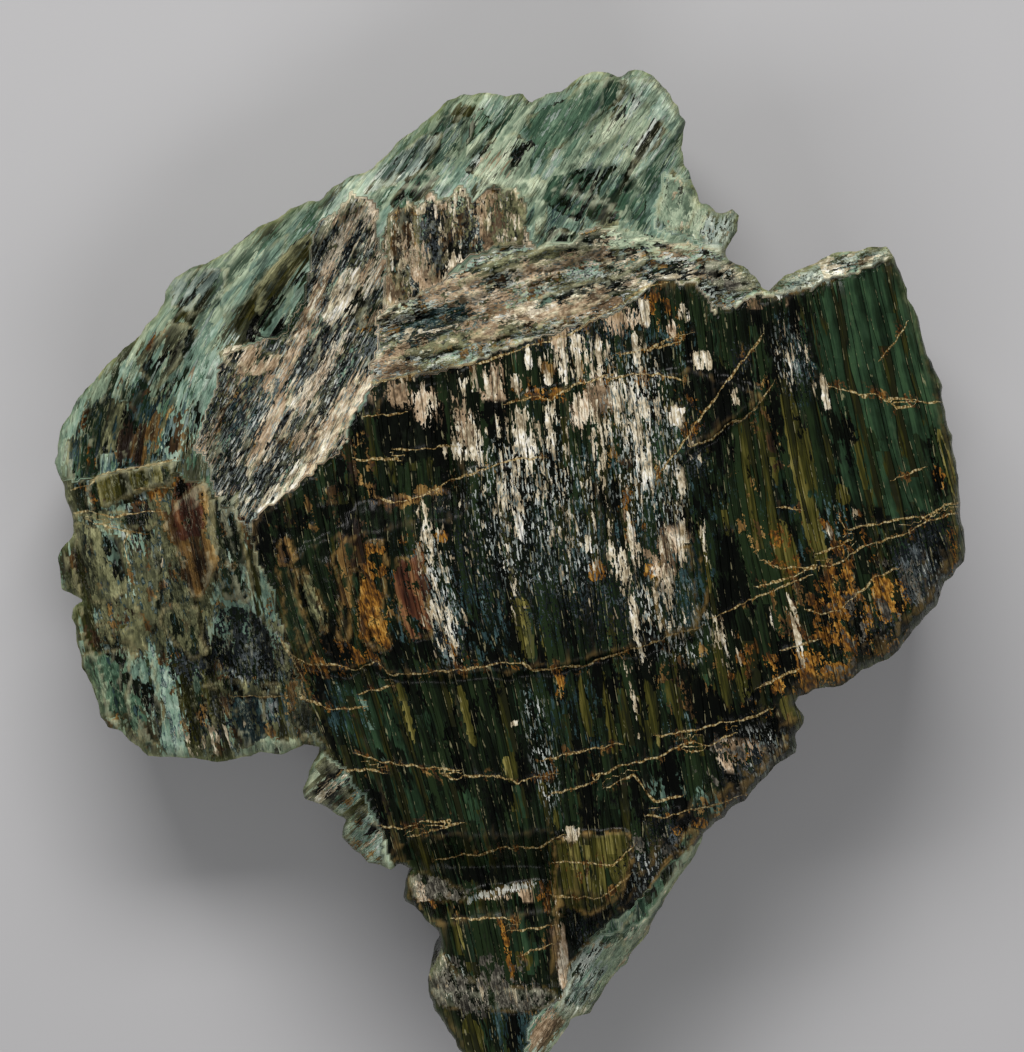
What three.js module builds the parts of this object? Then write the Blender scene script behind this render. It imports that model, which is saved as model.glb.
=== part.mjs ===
// A broken slab of serpentine, lying on its back with its fibrous face up.
//
// The rock grew as one piece, so it is one closed body. Its plan is a hand-drawn outline; its face is
// a stack of broken plates, each a plateau with steep flanks; its underside rises from a small flat
// spot, on which it rests, to the broken rim. Millimetres, +Z up, origin under the middle of the box.
import * as THREE from 'three';

// ---- Driving dimensions, in millimetres ----

const CELL = 3.6; // side of one square of the surface grid
const RIM_ROWS = 4; // rows of squares down the broken rim
const UNDERCUT = 4.5; // how far the rim draws in at its foot
const SNAP = 0.92; // share of the way that a border point moves to the outline

// The flat spot, an ellipse on the underside below the centre of mass.
const FLAT_SPOT = { x: 1.5, y: 3.0, halfX: 31.0, halfY: 25.0 };

// Plan of the rock, clockwise from its left end.
const OUTLINE = [
  [-91.1, 20.3], [-89.3, 28.7], [-85.1, 35.3], [-79.5, 41.5], [-73.7, 46.1], [-69.3, 52.5],
  [-68.9, 54.7], [-66.9, 57.9], [-61.7, 60.7], [-58.3, 61.7], [-55.7, 64.1], [-49.1, 68.1],
  [-40.5, 73.3], [-38.5, 73.1], [-32.5, 77.7], [-29.1, 78.7], [-25.1, 81.5], [-21.1, 85.7],
  [-17.9, 87.9], [-12.9, 92.7], [-10.5, 93.9], [-4.7, 94.9], [-2.7, 94.3], [2.7, 94.7],
  [4.7, 93.1], [7.5, 94.7], [10.5, 94.9], [14.5, 97.9], [16.5, 98.7], [19.7, 98.7],
  [22.3, 97.7], [24.3, 98.9], [27.1, 99.1], [29.1, 98.5], [32.7, 94.3], [35.5, 88.9],
  [34.9, 83.7], [36.9, 77.1], [38.3, 74.1], [38.5, 72.3], [40.3, 72.3], [41.7, 70.7],
  [43.7, 70.7], [45.5, 71.3], [46.9, 70.7], [44.9, 64.7], [43.5, 62.5], [43.9, 60.5],
  [47.7, 59.1], [50.5, 54.9], [52.3, 54.3], [55.3, 57.9], [58.3, 58.5], [64.9, 61.9],
  [68.9, 62.7], [75.1, 63.1], [77.5, 59.1], [81.1, 48.9], [83.7, 41.3], [86.3, 35.3],
  [87.1, 27.9], [88.1, 25.3], [89.9, 12.7], [91.1, 2.9], [90.7, 0.3], [87.1, -3.7],
  [85.3, -7.9], [81.3, -12.3], [78.1, -17.5], [75.7, -18.9], [70.7, -20.9], [66.5, -24.1],
  [63.5, -24.5], [58.1, -26.5], [57.5, -27.7], [59.3, -30.9], [57.3, -33.9], [58.1, -35.9],
  [57.5, -37.7], [53.5, -39.7], [48.9, -44.7], [47.3, -47.3], [42.3, -51.3], [39.1, -53.9],
  [37.3, -58.5], [33.1, -64.3], [28.7, -71.1], [28.3, -73.3], [24.3, -78.9], [18.7, -85.9],
  [16.3, -89.7], [12.7, -90.9], [10.9, -93.3], [8.5, -96.7], [5.9, -99.1], [-1.5, -99.1],
  [-8.3, -98.7], [-10.7, -94.5], [-15.1, -87.9], [-16.1, -82.5], [-13.1, -76.5], [-13.9, -73.3],
  [-16.9, -69.7], [-20.7, -66.9], [-20.5, -63.3], [-19.5, -60.9], [-21.9, -59.3], [-23.5, -60.7],
  [-27.9, -59.7], [-30.9, -56.9], [-32.9, -54.7], [-32.5, -51.1], [-37.1, -48.3], [-40.7, -47.1],
  [-41.1, -45.3], [-39.7, -40.5], [-37.1, -36.5], [-40.5, -35.7], [-45.1, -38.1], [-49.7, -37.7],
  [-53.1, -38.7], [-58.3, -39.9], [-64.9, -39.1], [-72.3, -38.5], [-77.5, -33.7], [-80.3, -32.7],
  [-81.9, -30.7], [-82.5, -27.5], [-85.3, -20.1], [-87.5, -10.9], [-87.1, -8.3], [-85.5, -7.3],
  [-89.5, -4.9], [-90.5, 1.1], [-89.5, 3.7], [-87.5, 6.3], [-87.5, 8.9], [-89.3, 14.9],
];

// Heights of the lowest layer of the face, as spot heights that a smooth surface runs through.
const SPOT_HEIGHTS = [
  [-65, -5, 36], [-80, 15, 31], [-70, -28, 34], [-62, 35, 33], [-45, 50, 30], [-30, 62, 29],
  [-10, 82, 30], [10, 84, 32], [25, 85, 33], [32, 70, 32], [0, 60, 33], [43, 66, 27],
  [-36, -43, 22], [-30, -53, 21], [30, -60, 30], [22, -78, 24], [14, -86, 22], [-10, -80, 33],
  [0, 0, 40], [60, 0, 38], [5, -50, 38],
];

// The broken plates that lie over it: a plateau through its own centre, tilted by slope, whose flank
// falls away outside its edge.
const PLATES = [
  { name: 'rear ledge', height: 40, slope: [0.02, -0.06], flank: 1.6, edge: [
    [-33.9, 68.5], [-31.1, 74.3], [-17.5, 76.1], [-1.5, 76.9], [7.5, 75.7], [18.5, 71.9],
    [26.5, 67.3], [39.5, 62.9], [41.7, 52.9], [26.5, 46.9], [10.5, 43.9], [-25.5, 34.5],
    [-36.5, 43.9]] },
  { name: 'main face', height: 49, slope: [-0.01, 0.035], flank: 0.95, edge: [
    [-26.5, 36.3], [-13.3, 38.5], [-2.7, 41.3], [10.5, 45.9], [21.1, 49.1], [30.3, 54.9],
    [37.3, 56.1], [40.1, 49.9], [49.5, 52.1], [60.1, 53.9], [67.5, 56.9], [77.5, 61.9],
    [98.5, 32.9], [98.5, -11.1], [58.5, -39.1], [36.5, -47.1], [22.5, -68.1], [10.5, -63.1],
    [-15.5, -63.1], [-21.5, -59.1], [-30.3, -47.1], [-35.5, -39.1], [-41.5, -19.1],
    [-49.1, 0.9], [-51.5, 12.9], [-35.5, 21.5]] },
  { name: 'veined layer', height: 51.5, slope: [0.0, 0.02], flank: 1.8, edge: [
    [-13.5, 11.9], [-6.3, 18.1], [5.3, 21.3], [3.1, 32.9], [14.5, 35.9], [26.5, 37.3],
    [38.5, 38.5], [50.9, 33.3], [43.5, 28.3], [36.9, 23.3], [30.7, 17.9], [36.5, 0.9],
    [29.5, -15.1], [18.5, -18.1], [-0.7, -19.3], [-23.9, -22.7], [-41.1, -19.3],
    [-43.5, 0.9], [-25.3, 11.3]] },
  { name: 'tip ledge', height: 46, slope: [0.0, 0.03], flank: 2.0, edge: [
    [-15.1, -67.3], [-3.9, -65.7], [7.5, -63.7], [10.5, -67.1], [8.1, -84.1], [-16.5, -85.1],
    [-17.5, -70.1]] },
  { name: 'tip foot', height: 47, slope: [0.0, 0.0], flank: 1.5, edge: [
    [-17.5, -87.9], [-5.5, -88.7], [8.9, -87.1], [14.5, -93.1], [6.5, -103.1],
    [-11.5, -103.1]] },
];

// Hollows cut into the face: a floor at its own height, with sloping sides.
const HOLLOWS = [
  { name: 'dark recess', floor: 46, side: 0.8, edge: [
    [-30, 34], [-14, 35.5], [-12.5, 15], [-30, 12], [-35, 20]] },
  { name: 'hollow above the tip', floor: 40, side: 1.0, edge: [
    [-16, -60.5], [6.5, -60], [7, -63], [-16, -66]] },
  { name: 'shadowed gash', floor: 27, side: 0.8, edge: [
    [-43, 61], [-38, 60], [-43, 48], [-51, 43], [-52, 47]] },
];

// The rim by bearing from the origin, in degrees anticlockwise from +X: height of its upper edge,
// width of the bevel that comes down to it, and height of its lower edge.
const RIM = [
  { bearing: -180, top: 22, bevel: 14, foot: 10 },
  { bearing: -160, top: 22, bevel: 12, foot: 11 },
  { bearing: -145, top: 24, bevel: 9, foot: 12 },
  { bearing: -136, top: 26, bevel: 6, foot: 13 },
  { bearing: -131, top: 19, bevel: 4, foot: 12 },
  { bearing: -120, top: 20, bevel: 4, foot: 12 },
  { bearing: -107, top: 30, bevel: 5, foot: 13 },
  { bearing: -95, top: 38, bevel: 6, foot: 15 },
  { bearing: -86, top: 38, bevel: 6, foot: 15 },
  { bearing: -78, top: 21, bevel: 5, foot: 12 },
  { bearing: -58, top: 20, bevel: 6, foot: 12 },
  { bearing: -45, top: 27, bevel: 10, foot: 13 },
  { bearing: -28, top: 27, bevel: 14, foot: 13 },
  { bearing: -10, top: 24, bevel: 16, foot: 12 },
  { bearing: 2, top: 28, bevel: 12, foot: 12 },
  { bearing: 12, top: 38, bevel: 5, foot: 13 },
  { bearing: 34, top: 43, bevel: 4, foot: 14 },
  { bearing: 41, top: 40, bevel: 9, foot: 15 },
  { bearing: 50, top: 34, bevel: 6, foot: 16 },
  { bearing: 57, top: 27, bevel: 5, foot: 17 },
  { bearing: 70, top: 24, bevel: 7, foot: 13 },
  { bearing: 98, top: 22, bevel: 9, foot: 12 },
  { bearing: 119, top: 20, bevel: 10, foot: 11 },
  { bearing: 145, top: 20, bevel: 12, foot: 10 },
  { bearing: 180, top: 22, bevel: 14, foot: 10 },
];

const ROUGHNESS = 0.5; // height of the lumps on the face
const UNDERSIDE_ROUGHNESS = 2.2; // height of the lumps on the underside

// ---- Plan geometry ----

const lerp = THREE.MathUtils.lerp;
const clamp = THREE.MathUtils.clamp;

function toVectors(points) {
  return points.map(([x, y]) => new THREE.Vector2(x, y));
}

// The nearest point of a closed polygon to a place, and its distance, positive inside.
function nearestOnPolygon(polygon, place) {
  const nearest = new THREE.Vector2();
  const candidate = new THREE.Vector2();
  let distance = Infinity;
  let inside = false;
  for (let i = 0, j = polygon.length - 1; i < polygon.length; j = i, i += 1) {
    const a = polygon[i];
    const b = polygon[j];
    const lengthSq = Math.max(a.distanceToSquared(b), 1e-12);
    const along = ((place.x - a.x) * (b.x - a.x) + (place.y - a.y) * (b.y - a.y)) / lengthSq;
    candidate.lerpVectors(a, b, clamp(along, 0, 1));
    const reach = candidate.distanceTo(place);
    if (reach < distance) {
      distance = reach;
      nearest.copy(candidate);
    }
    const crosses = a.y > place.y !== b.y > place.y;
    if (crosses && place.x < a.x + ((b.x - a.x) * (place.y - a.y)) / (b.y - a.y)) {
      inside = !inside;
    }
  }
  return { nearest, distance: inside ? distance : -distance };
}

const outline = toVectors(OUTLINE);
const plates = PLATES.map((plate) => {
  const edge = toVectors(plate.edge);
  const middle = new THREE.Vector2();
  edge.forEach((corner) => middle.addScaledVector(corner, 1 / edge.length));
  return { ...plate, edge, middle };
});
const hollows = HOLLOWS.map((hollow) => ({ ...hollow, edge: toVectors(hollow.edge) }));

// ---- Height of the face and of the underside ----

// A few crossed waves, between about -1 and 1.
function lumps(x, y, wavelength) {
  const k = (2 * Math.PI) / wavelength;
  return (Math.sin(k * (x + 0.4 * y)) * Math.cos(k * (0.8 * y - 0.3 * x)) +
    0.6 * Math.sin(1.7 * k * (y - 0.6 * x) + 1.3)) / 1.6;
}

// Spot heights blended by the inverse cube of their distance.
function lowestLayer(place) {
  let weightSum = 0;
  let heightSum = 0;
  for (const [x, y, height] of SPOT_HEIGHTS) {
    const weight = 1 / (Math.hypot(place.x - x, place.y - y) + 4) ** 3;
    weightSum += weight;
    heightSum += weight * height;
  }
  return heightSum / weightSum;
}

function rimAt(place) {
  const bearing = THREE.MathUtils.radToDeg(Math.atan2(place.y, place.x));
  const next = Math.max(1, RIM.findIndex((stretch) => stretch.bearing >= bearing));
  const from = RIM[next - 1];
  const to = RIM[next];
  const share = (bearing - from.bearing) / (to.bearing - from.bearing);
  return {
    top: lerp(from.top, to.top, share),
    bevel: lerp(from.bevel, to.bevel, share),
    foot: lerp(from.foot, to.foot, share),
  };
}

function faceHeight(place, depthInside) {
  let height = lowestLayer(place);
  for (const plate of plates) {
    const outside = Math.max(0, -nearestOnPolygon(plate.edge, place).distance);
    const plateau = plate.height + plate.slope[0] * (place.x - plate.middle.x) +
      plate.slope[1] * (place.y - plate.middle.y);
    height = Math.max(height, plateau - plate.flank * outside);
  }
  for (const hollow of hollows) {
    const outside = Math.max(0, -nearestOnPolygon(hollow.edge, place).distance);
    height = Math.min(height, hollow.floor + hollow.side * outside);
  }
  const rim = rimAt(place);
  const short = 1 - clamp(depthInside / rim.bevel, 0, 1);
  return lerp(height, Math.min(height, rim.top), short * short) + ROUGHNESS * lumps(place.x, place.y, 17);
}

// Zero on the flat spot, rising to the foot of the rim.
function undersideHeight(place, depthInside) {
  const spot = FLAT_SPOT;
  const ring = Math.hypot((place.x - spot.x) / spot.halfX, (place.y - spot.y) / spot.halfY);
  if (ring <= 1) {
    return 0;
  }
  const fromSpot = (ring - 1) * 0.5 * (spot.halfX + spot.halfY);
  const share = fromSpot / (fromSpot + Math.max(depthInside, 0));
  const bulge = share * (1 - share) * 4;
  return rimAt(place).foot * share ** 1.15 +
    bulge * UNDERSIDE_ROUGHNESS * (0.6 + 0.4 * lumps(place.x, place.y, 31));
}

// ---- The surface grid ----

// Grid squares whose middle lies inside the outline, as the column and row of each. A square that
// meets the others only across a corner there is left out, so that the border never touches itself.
function keptSquares(box, columns, rows) {
  const kept = new Map();
  for (let i = 0; i < columns; i += 1) {
    for (let j = 0; j < rows; j += 1) {
      const middle = new THREE.Vector2(box.min.x + (i + 0.5) * CELL, box.min.y + (j + 0.5) * CELL);
      if (nearestOnPolygon(outline, middle).distance > 0) {
        kept.set(`${i},${j}`, [i, j]);
      }
    }
  }
  const has = (i, j) => kept.has(`${i},${j}`);
  for (const [key, [i, j]] of kept) {
    const pinched = [[-1, -1], [-1, 1], [1, -1], [1, 1]].some(
      ([di, dj]) => has(i + di, j + dj) && !has(i + di, j) && !has(i, j + dj),
    );
    if (pinched) {
      kept.delete(key);
    }
  }
  return [...kept.values()];
}

// The kept squares, each as its four corners anticlockwise, and the list of all corners.
function coverPlan() {
  const box = new THREE.Box2().setFromPoints(outline);
  const columns = Math.ceil((box.max.x - box.min.x) / CELL);
  const rows = Math.ceil((box.max.y - box.min.y) / CELL);
  const corners = new Map();
  const cornerAt = (i, j) => {
    const key = `${i},${j}`;
    if (!corners.has(key)) {
      const place = new THREE.Vector2(box.min.x + i * CELL, box.min.y + j * CELL);
      corners.set(key, { place, index: corners.size });
    }
    return corners.get(key);
  };
  const squares = keptSquares(box, columns, rows).map(([i, j]) => [
    cornerAt(i, j), cornerAt(i + 1, j), cornerAt(i + 1, j + 1), cornerAt(i, j + 1),
  ]);
  return { corners: [...corners.values()], squares };
}

// Sides that belong to one square only, in the direction in which that square runs round them.
function borderSides(squares) {
  const sides = new Map();
  for (const square of squares) {
    square.forEach((from, n) => {
      const to = square[(n + 1) % square.length];
      const back = `${to.index},${from.index}`;
      if (!sides.delete(back)) {
        sides.set(`${from.index},${to.index}`, [from, to]);
      }
    });
  }
  return [...sides.values()];
}

function makeRock() {
  const { corners, squares } = coverPlan();
  const border = borderSides(squares);
  const onBorder = new Set(border.flat());
  onBorder.forEach((corner) => {
    corner.place.lerp(nearestOnPolygon(outline, corner.place).nearest, SNAP);
  });

  const positions = [];
  const indices = [];
  const addPoint = (x, y, z) => positions.push(x, y, z) / 3 - 1;
  const addSquare = (a, b, c, d) => indices.push(a, b, c, a, c, d);

  for (const corner of corners) {
    const { nearest, distance } = nearestOnPolygon(outline, corner.place);
    const rimwards = onBorder.has(corner) ? 0 : distance;
    const face = faceHeight(corner.place, rimwards);
    corner.levels = [addPoint(corner.place.x, corner.place.y, face)];
    const under = corner.place.clone();
    if (onBorder.has(corner)) {
      const inwards = corner.place.clone().negate().setLength(UNDERCUT);
      const foot = rimAt(corner.place).foot;
      for (let row = 1; row <= RIM_ROWS; row += 1) {
        const share = row / RIM_ROWS;
        under.copy(corner.place).addScaledVector(inwards, share * share);
        corner.levels.push(addPoint(under.x, under.y, lerp(face, foot, share)));
      }
    } else {
      const pull = UNDERCUT * Math.exp(-distance / (2 * UNDERCUT));
      under.addScaledVector(corner.place.clone().negate().setLength(1), pull);
      corner.levels.push(addPoint(under.x, under.y, undersideHeight(under, distance)));
    }
  }

  for (const square of squares) {
    addSquare(...square.map((corner) => corner.levels[0]));
    addSquare(...square.map((corner) => corner.levels.at(-1)).reverse());
  }
  for (const [from, to] of border) {
    for (let row = 0; row < RIM_ROWS; row += 1) {
      addSquare(from.levels[row], from.levels[row + 1], to.levels[row + 1], to.levels[row]);
    }
  }

  const geometry = new THREE.BufferGeometry();
  geometry.setAttribute('position', new THREE.Float32BufferAttribute(positions, 3));
  geometry.setIndex(indices);
  geometry.computeBoundingBox();
  const middle = geometry.boundingBox.getCenter(new THREE.Vector3());
  geometry.translate(-middle.x, -middle.y, 0);
  geometry.computeVertexNormals();
  return geometry;
}

// ---- The part ----

const serpentine = new THREE.MeshStandardMaterial({
  color: 0x3f4f3c,
  roughness: 0.5,
  metalness: 0,
  flatShading: true,
});
const rock = new THREE.Mesh(makeRock(), serpentine);
rock.name = 'serpentine_rock';

const group = new THREE.Group();
group.add(rock);

export default group;
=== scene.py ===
# %% [markdown]
# # A rough slab of fibrous serpentine
#
# Serpentine grows as bundles of fine fibres. A broken piece shows them as long straight columns where
# it splits along the fibres, and as rough ledges where it snaps across them. This lesson builds one
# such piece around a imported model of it: one closed surface, a set of coats painted on it by mineral,
# and a waxy stone material that adds what is too fine for the surface.
#
# It could be sculpted by hand, but then every look at it would be a fresh start. Here each shape is a
# formula over whole arrays of points, so any part of it can be changed by a number. All sizes in this
# file are in millimetres and are turned to metres when a mesh is made.

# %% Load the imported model
import math

import bpy
import numpy as np
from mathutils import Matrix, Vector


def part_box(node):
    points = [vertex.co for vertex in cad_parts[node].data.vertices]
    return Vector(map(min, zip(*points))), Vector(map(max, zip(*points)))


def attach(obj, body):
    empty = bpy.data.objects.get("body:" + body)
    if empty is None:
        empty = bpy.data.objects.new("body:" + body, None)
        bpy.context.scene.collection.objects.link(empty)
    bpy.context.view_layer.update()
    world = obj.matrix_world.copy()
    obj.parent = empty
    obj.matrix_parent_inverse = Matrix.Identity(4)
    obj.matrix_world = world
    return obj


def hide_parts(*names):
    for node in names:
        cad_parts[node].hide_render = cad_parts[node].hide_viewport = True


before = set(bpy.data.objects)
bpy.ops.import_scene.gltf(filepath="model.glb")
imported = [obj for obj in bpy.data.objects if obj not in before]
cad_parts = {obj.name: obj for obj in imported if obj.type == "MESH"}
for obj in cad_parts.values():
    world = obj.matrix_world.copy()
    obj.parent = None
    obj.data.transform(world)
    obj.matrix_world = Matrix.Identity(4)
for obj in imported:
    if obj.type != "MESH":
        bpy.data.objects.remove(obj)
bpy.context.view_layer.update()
MM = 0.001
ROCK = "serpentine_rock"
low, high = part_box(ROCK)
print("packed rock, mm:", [round((b - a) / MM, 1) for a, b in zip(low, high)])

# %% [markdown]
# ## The camera
#
# The rock lies on its back, so the camera looks straight down at its face. A long lens from far away
# keeps the outline true: with a short lens the raised plates would lean outwards over the rim.

# %% Camera
VIEW_MM = 210.4  # height of the view at the level of the face
FACE_LEVEL = 38.0
CAMERA_DISTANCE = 1500.0
VIEW_CENTRE = (0.9, 7.7)

camera_data = bpy.data.cameras.new("camera")
camera_data.sensor_width = 36.0
camera_data.lens = camera_data.sensor_width * CAMERA_DISTANCE / VIEW_MM
camera_data.clip_end = 100.0
camera = bpy.data.objects.new("camera", camera_data)
camera.location = (VIEW_CENTRE[0] * MM, VIEW_CENTRE[1] * MM, (FACE_LEVEL + CAMERA_DISTANCE) * MM)
bpy.context.scene.collection.objects.link(camera)
bpy.context.scene.camera = camera
bpy.context.scene.view_settings.view_transform = "Standard"
print("lens, mm:", round(camera_data.lens, 1))

# %% [markdown]
# ## Noise without surprises
#
# Everything irregular comes from one lattice noise. Each corner of a cubic lattice gets a number from
# its own integer coordinates, and a point between corners blends the eight around it. A random
# generator would do for a list of numbers, but this gives one for any place, without a list. Nothing is
# drawn from a random stream, so the rock is the same on every run.


# %% Noise
def corner_value(ix, iy, iz, seed):
    """A number from 0 to 1 for each lattice corner: its coordinates, multiplied by large odd numbers
    and mixed, as the top bits of a 32-bit product."""
    mixed = (ix.astype(np.uint32) * np.uint32(374761393)
             + iy.astype(np.uint32) * np.uint32(668265263)
             + iz.astype(np.uint32) * np.uint32(2147483647)
             + np.uint32((seed * 144269504) % 4294967296))
    mixed = (mixed ^ (mixed >> np.uint32(13))) * np.uint32(1274126177)
    mixed = (mixed ^ (mixed >> np.uint32(16))) * np.uint32(2246822519)
    return (mixed ^ (mixed >> np.uint32(15))) / 4294967295.0


def noise(x, y, z=0.0, seed=0):
    """Lattice noise from -1 to 1: the eight corner values around a point, blended with the smooth
    weight 3t^2 - 2t^3 on each axis."""
    x, y, z = np.broadcast_arrays(np.asarray(x, float), y, z)
    ix, iy, iz = (np.floor(v).astype(np.int64) for v in (x, y, z))
    tx, ty, tz = x - ix, y - iy, z - iz
    sx, sy, sz = (t * t * (3 - 2 * t) for t in (tx, ty, tz))
    total = np.zeros(x.shape)
    for dx, wx in ((0, 1 - sx), (1, sx)):
        for dy, wy in ((0, 1 - sy), (1, sy)):
            for dz, wz in ((0, 1 - sz), (1, sz)):
                total += wx * wy * wz * corner_value(ix + dx, iy + dy, iz + dz, seed)
    return 2 * total - 1


def fractal(x, y, z=0.0, seed=0, octaves=4):
    """Noise at a scale, plus half as much at half the scale, and so on, brought back to -1 to 1."""
    total, weight, size = 0.0, 0.0, 1.0
    for octave in range(octaves):
        total = total + size * noise(x * 2**octave, y * 2**octave, z * 2**octave, seed + 17 * octave)
        weight += size
        size *= 0.5
    return total / weight


def smooth_step(value, start, end):
    """From 0 at start to 1 at end, as 3t^2 - 2t^3 of the share t of the way."""
    t = np.clip((value - start) / (end - start), 0, 1)
    return t * t * (3 - 2 * t)


def shaken(x, y, *waves, octaves=4):
    """The places pushed about by noise, so that a straight edge tested there comes out broken. A wave is
    its push, its length and its seed."""
    wx, wy = x, y
    for push, length, seed in waves:
        wx = wx + push * fractal(x / length, y / length, seed=seed, octaves=octaves)
        wy = wy + push * fractal(x / length, y / length, seed=seed + 1, octaves=octaves)
    return wx, wy


sample = noise(np.linspace(0, 50, 500), 0.5)
print("noise from", round(sample.min(), 2), "to", round(sample.max(), 2))


# %% [markdown]
# ## The plan of the rock
#
# The outline is drawn with a point wherever the broken edge turns. A scatter of random corners
# would make a rock too, but not this one. Between the points a real break is never straight, so the line
# is cut into short steps and each step is pushed in or out by a little noise.

# %% Outline
OUTLINE = np.array([
    [-91.1, 20.3], [-89.3, 28.7], [-85.1, 35.3], [-79.5, 41.5], [-73.7, 46.1], [-69.3, 52.5],
    [-68.9, 54.7], [-66.9, 57.9], [-61.7, 60.7], [-58.3, 61.7], [-55.7, 64.1], [-49.1, 68.1],
    [-40.5, 73.3], [-38.5, 73.1], [-32.5, 77.7], [-29.1, 78.7], [-25.1, 81.5], [-21.1, 85.7],
    [-17.9, 87.9], [-12.9, 92.7], [-10.5, 93.9], [-4.7, 94.9], [-2.7, 94.3], [2.7, 94.7],
    [4.7, 93.1], [7.5, 94.7], [10.5, 94.9], [14.5, 97.9], [16.5, 98.7], [19.7, 98.7],
    [22.3, 97.7], [24.3, 98.9], [27.1, 99.1], [29.1, 98.5], [32.7, 94.3], [35.5, 88.9],
    [34.9, 83.7], [36.9, 77.1], [38.3, 74.1], [38.5, 72.3], [40.3, 72.3], [41.7, 70.7],
    [43.7, 70.7], [45.5, 71.3], [46.9, 70.7], [44.9, 64.7], [43.5, 62.5], [43.9, 60.5],
    [47.7, 59.1], [50.5, 54.9], [52.3, 54.3], [55.3, 57.9], [58.3, 58.5], [64.9, 61.9],
    [68.9, 62.7], [75.1, 63.1], [77.5, 59.1], [81.1, 48.9], [83.7, 41.3], [86.3, 35.3],
    [87.1, 27.9], [88.1, 25.3], [89.9, 12.7], [91.1, 2.9], [90.7, 0.3], [87.1, -3.7],
    [85.3, -7.9], [81.3, -12.3], [78.1, -17.5], [75.7, -18.9], [70.7, -20.9], [66.5, -24.1],
    [63.5, -24.5], [58.1, -26.5], [57.5, -27.7], [59.3, -30.9], [57.3, -33.9], [58.1, -35.9],
    [57.5, -37.7], [53.5, -39.7], [48.9, -44.7], [47.3, -47.3], [42.3, -51.3], [39.1, -53.9],
    [37.3, -58.5], [33.1, -64.3], [28.7, -71.1], [28.3, -73.3], [24.3, -78.9], [18.7, -85.9],
    [16.3, -89.7], [12.7, -90.9], [10.9, -93.3], [8.5, -96.7], [5.9, -99.1], [-1.5, -99.1],
    [-8.3, -98.7], [-10.7, -94.5], [-15.1, -87.9], [-16.1, -82.5], [-13.1, -76.5], [-13.9, -73.3],
    [-16.9, -69.7], [-20.7, -66.9], [-20.5, -63.3], [-19.5, -60.9], [-21.9, -59.3], [-23.5, -60.7],
    [-27.9, -59.7], [-30.9, -56.9], [-32.9, -54.7], [-32.5, -51.1], [-37.1, -48.3], [-40.7, -47.1],
    [-41.1, -45.3], [-39.7, -40.5], [-37.1, -36.5], [-40.5, -35.7], [-45.1, -38.1], [-49.7, -37.7],
    [-53.1, -38.7], [-58.3, -39.9], [-64.9, -39.1], [-72.3, -38.5], [-77.5, -33.7], [-80.3, -32.7],
    [-81.9, -30.7], [-82.5, -27.5], [-85.3, -20.1], [-87.5, -10.9], [-87.1, -8.3], [-85.5, -7.3],
    [-89.5, -4.9], [-90.5, 1.1], [-89.5, 3.7], [-87.5, 6.3], [-87.5, 8.9], [-89.3, 14.9],
])
OUTLINE_STEP = 0.45
RAGGED = 0.5  # how far the noise pushes the edge
CHIP_LENGTH = 1.7


def ragged_loop(corners, step, push):
    """The closed line through the corners, cut into equal steps. Each is moved along its own normal by
    push times a smooth noise of its place plus a zigzag, which goes straight from one random height to
    the next and so leaves small chipped corners."""
    closed = np.vstack([corners, corners[:1]])
    along = np.concatenate([[0], np.cumsum(np.hypot(*np.diff(closed, axis=0).T))])
    stations = np.arange(0, along[-1], step)
    x, y = (np.interp(stations, along, closed[:, axis]) for axis in (0, 1))
    tangent = np.stack([np.roll(x, -3) - np.roll(x, 3), np.roll(y, -3) - np.roll(y, 3)])
    tangent /= np.hypot(*tangent)
    knots = np.arange(0, along[-1] + 2 * CHIP_LENGTH, CHIP_LENGTH)
    zigzag = np.interp(stations, knots, noise(knots * 7.3, 0.5, seed=6))
    shift = push * (0.6 * fractal(x / 4.5, y / 4.5, seed=5, octaves=2) + zigzag)
    return np.column_stack([x - tangent[1] * shift, y + tangent[0] * shift])


outline = ragged_loop(OUTLINE, OUTLINE_STEP, RAGGED)
print("points on the ragged outline:", len(outline))


# %% [markdown]
# ## Distances to lines
#
# Plates, hollows, veins and the rim are all worked out from the distance to a drawn line. The same
# function serves them all: it visits the line's segments, but handles every surface point at once.


# %% Distance to a drawn line
def line_distance(x, y, points, closed):
    """Distance from each place to the nearest of a line's segments, and that distance with a sign:
    positive inside a closed line, or left of an open one."""
    ends = np.roll(points, -1, axis=0) if closed else points[1:]
    nearest = np.full(x.shape, 1e9)
    side = np.ones(x.shape)
    inside = np.zeros(x.shape, bool)
    for (ax, ay), (bx, by) in zip(points, ends):
        ex, ey = bx - ax, by - ay
        t = np.clip(((x - ax) * ex + (y - ay) * ey) / max(ex * ex + ey * ey, 1e-12), 0, 1)
        gap = np.hypot(x - ax - t * ex, y - ay - t * ey)
        closer = gap < nearest
        nearest = np.where(closer, gap, nearest)
        if closed:
            if ay != by:
                inside ^= ((ay > y) != (by > y)) & (x < ax + (y - ay) * ex / ey)
        else:
            side = np.where(closer, np.sign(ex * (y - ay) - ey * (x - ax)), side)
    sign = np.where(inside, 1.0, -1.0) if closed else side
    return nearest, nearest * sign


# %% [markdown]
# ## Which way the fibres run
#
# The rock is made of provinces that broke differently. In the face the fibres stand upright and fan a
# little; in the pale mass behind it they sweep down to the left; small splinters have their own tilt.
# Each province turns a place into fibre coordinates: how far across the fibres it lies, and how far
# along them. A texture could be turned for each province in the material instead, but the relief needs
# the same directions. Relief and colour are both drawn in these coordinates, so that they always agree.

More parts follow.
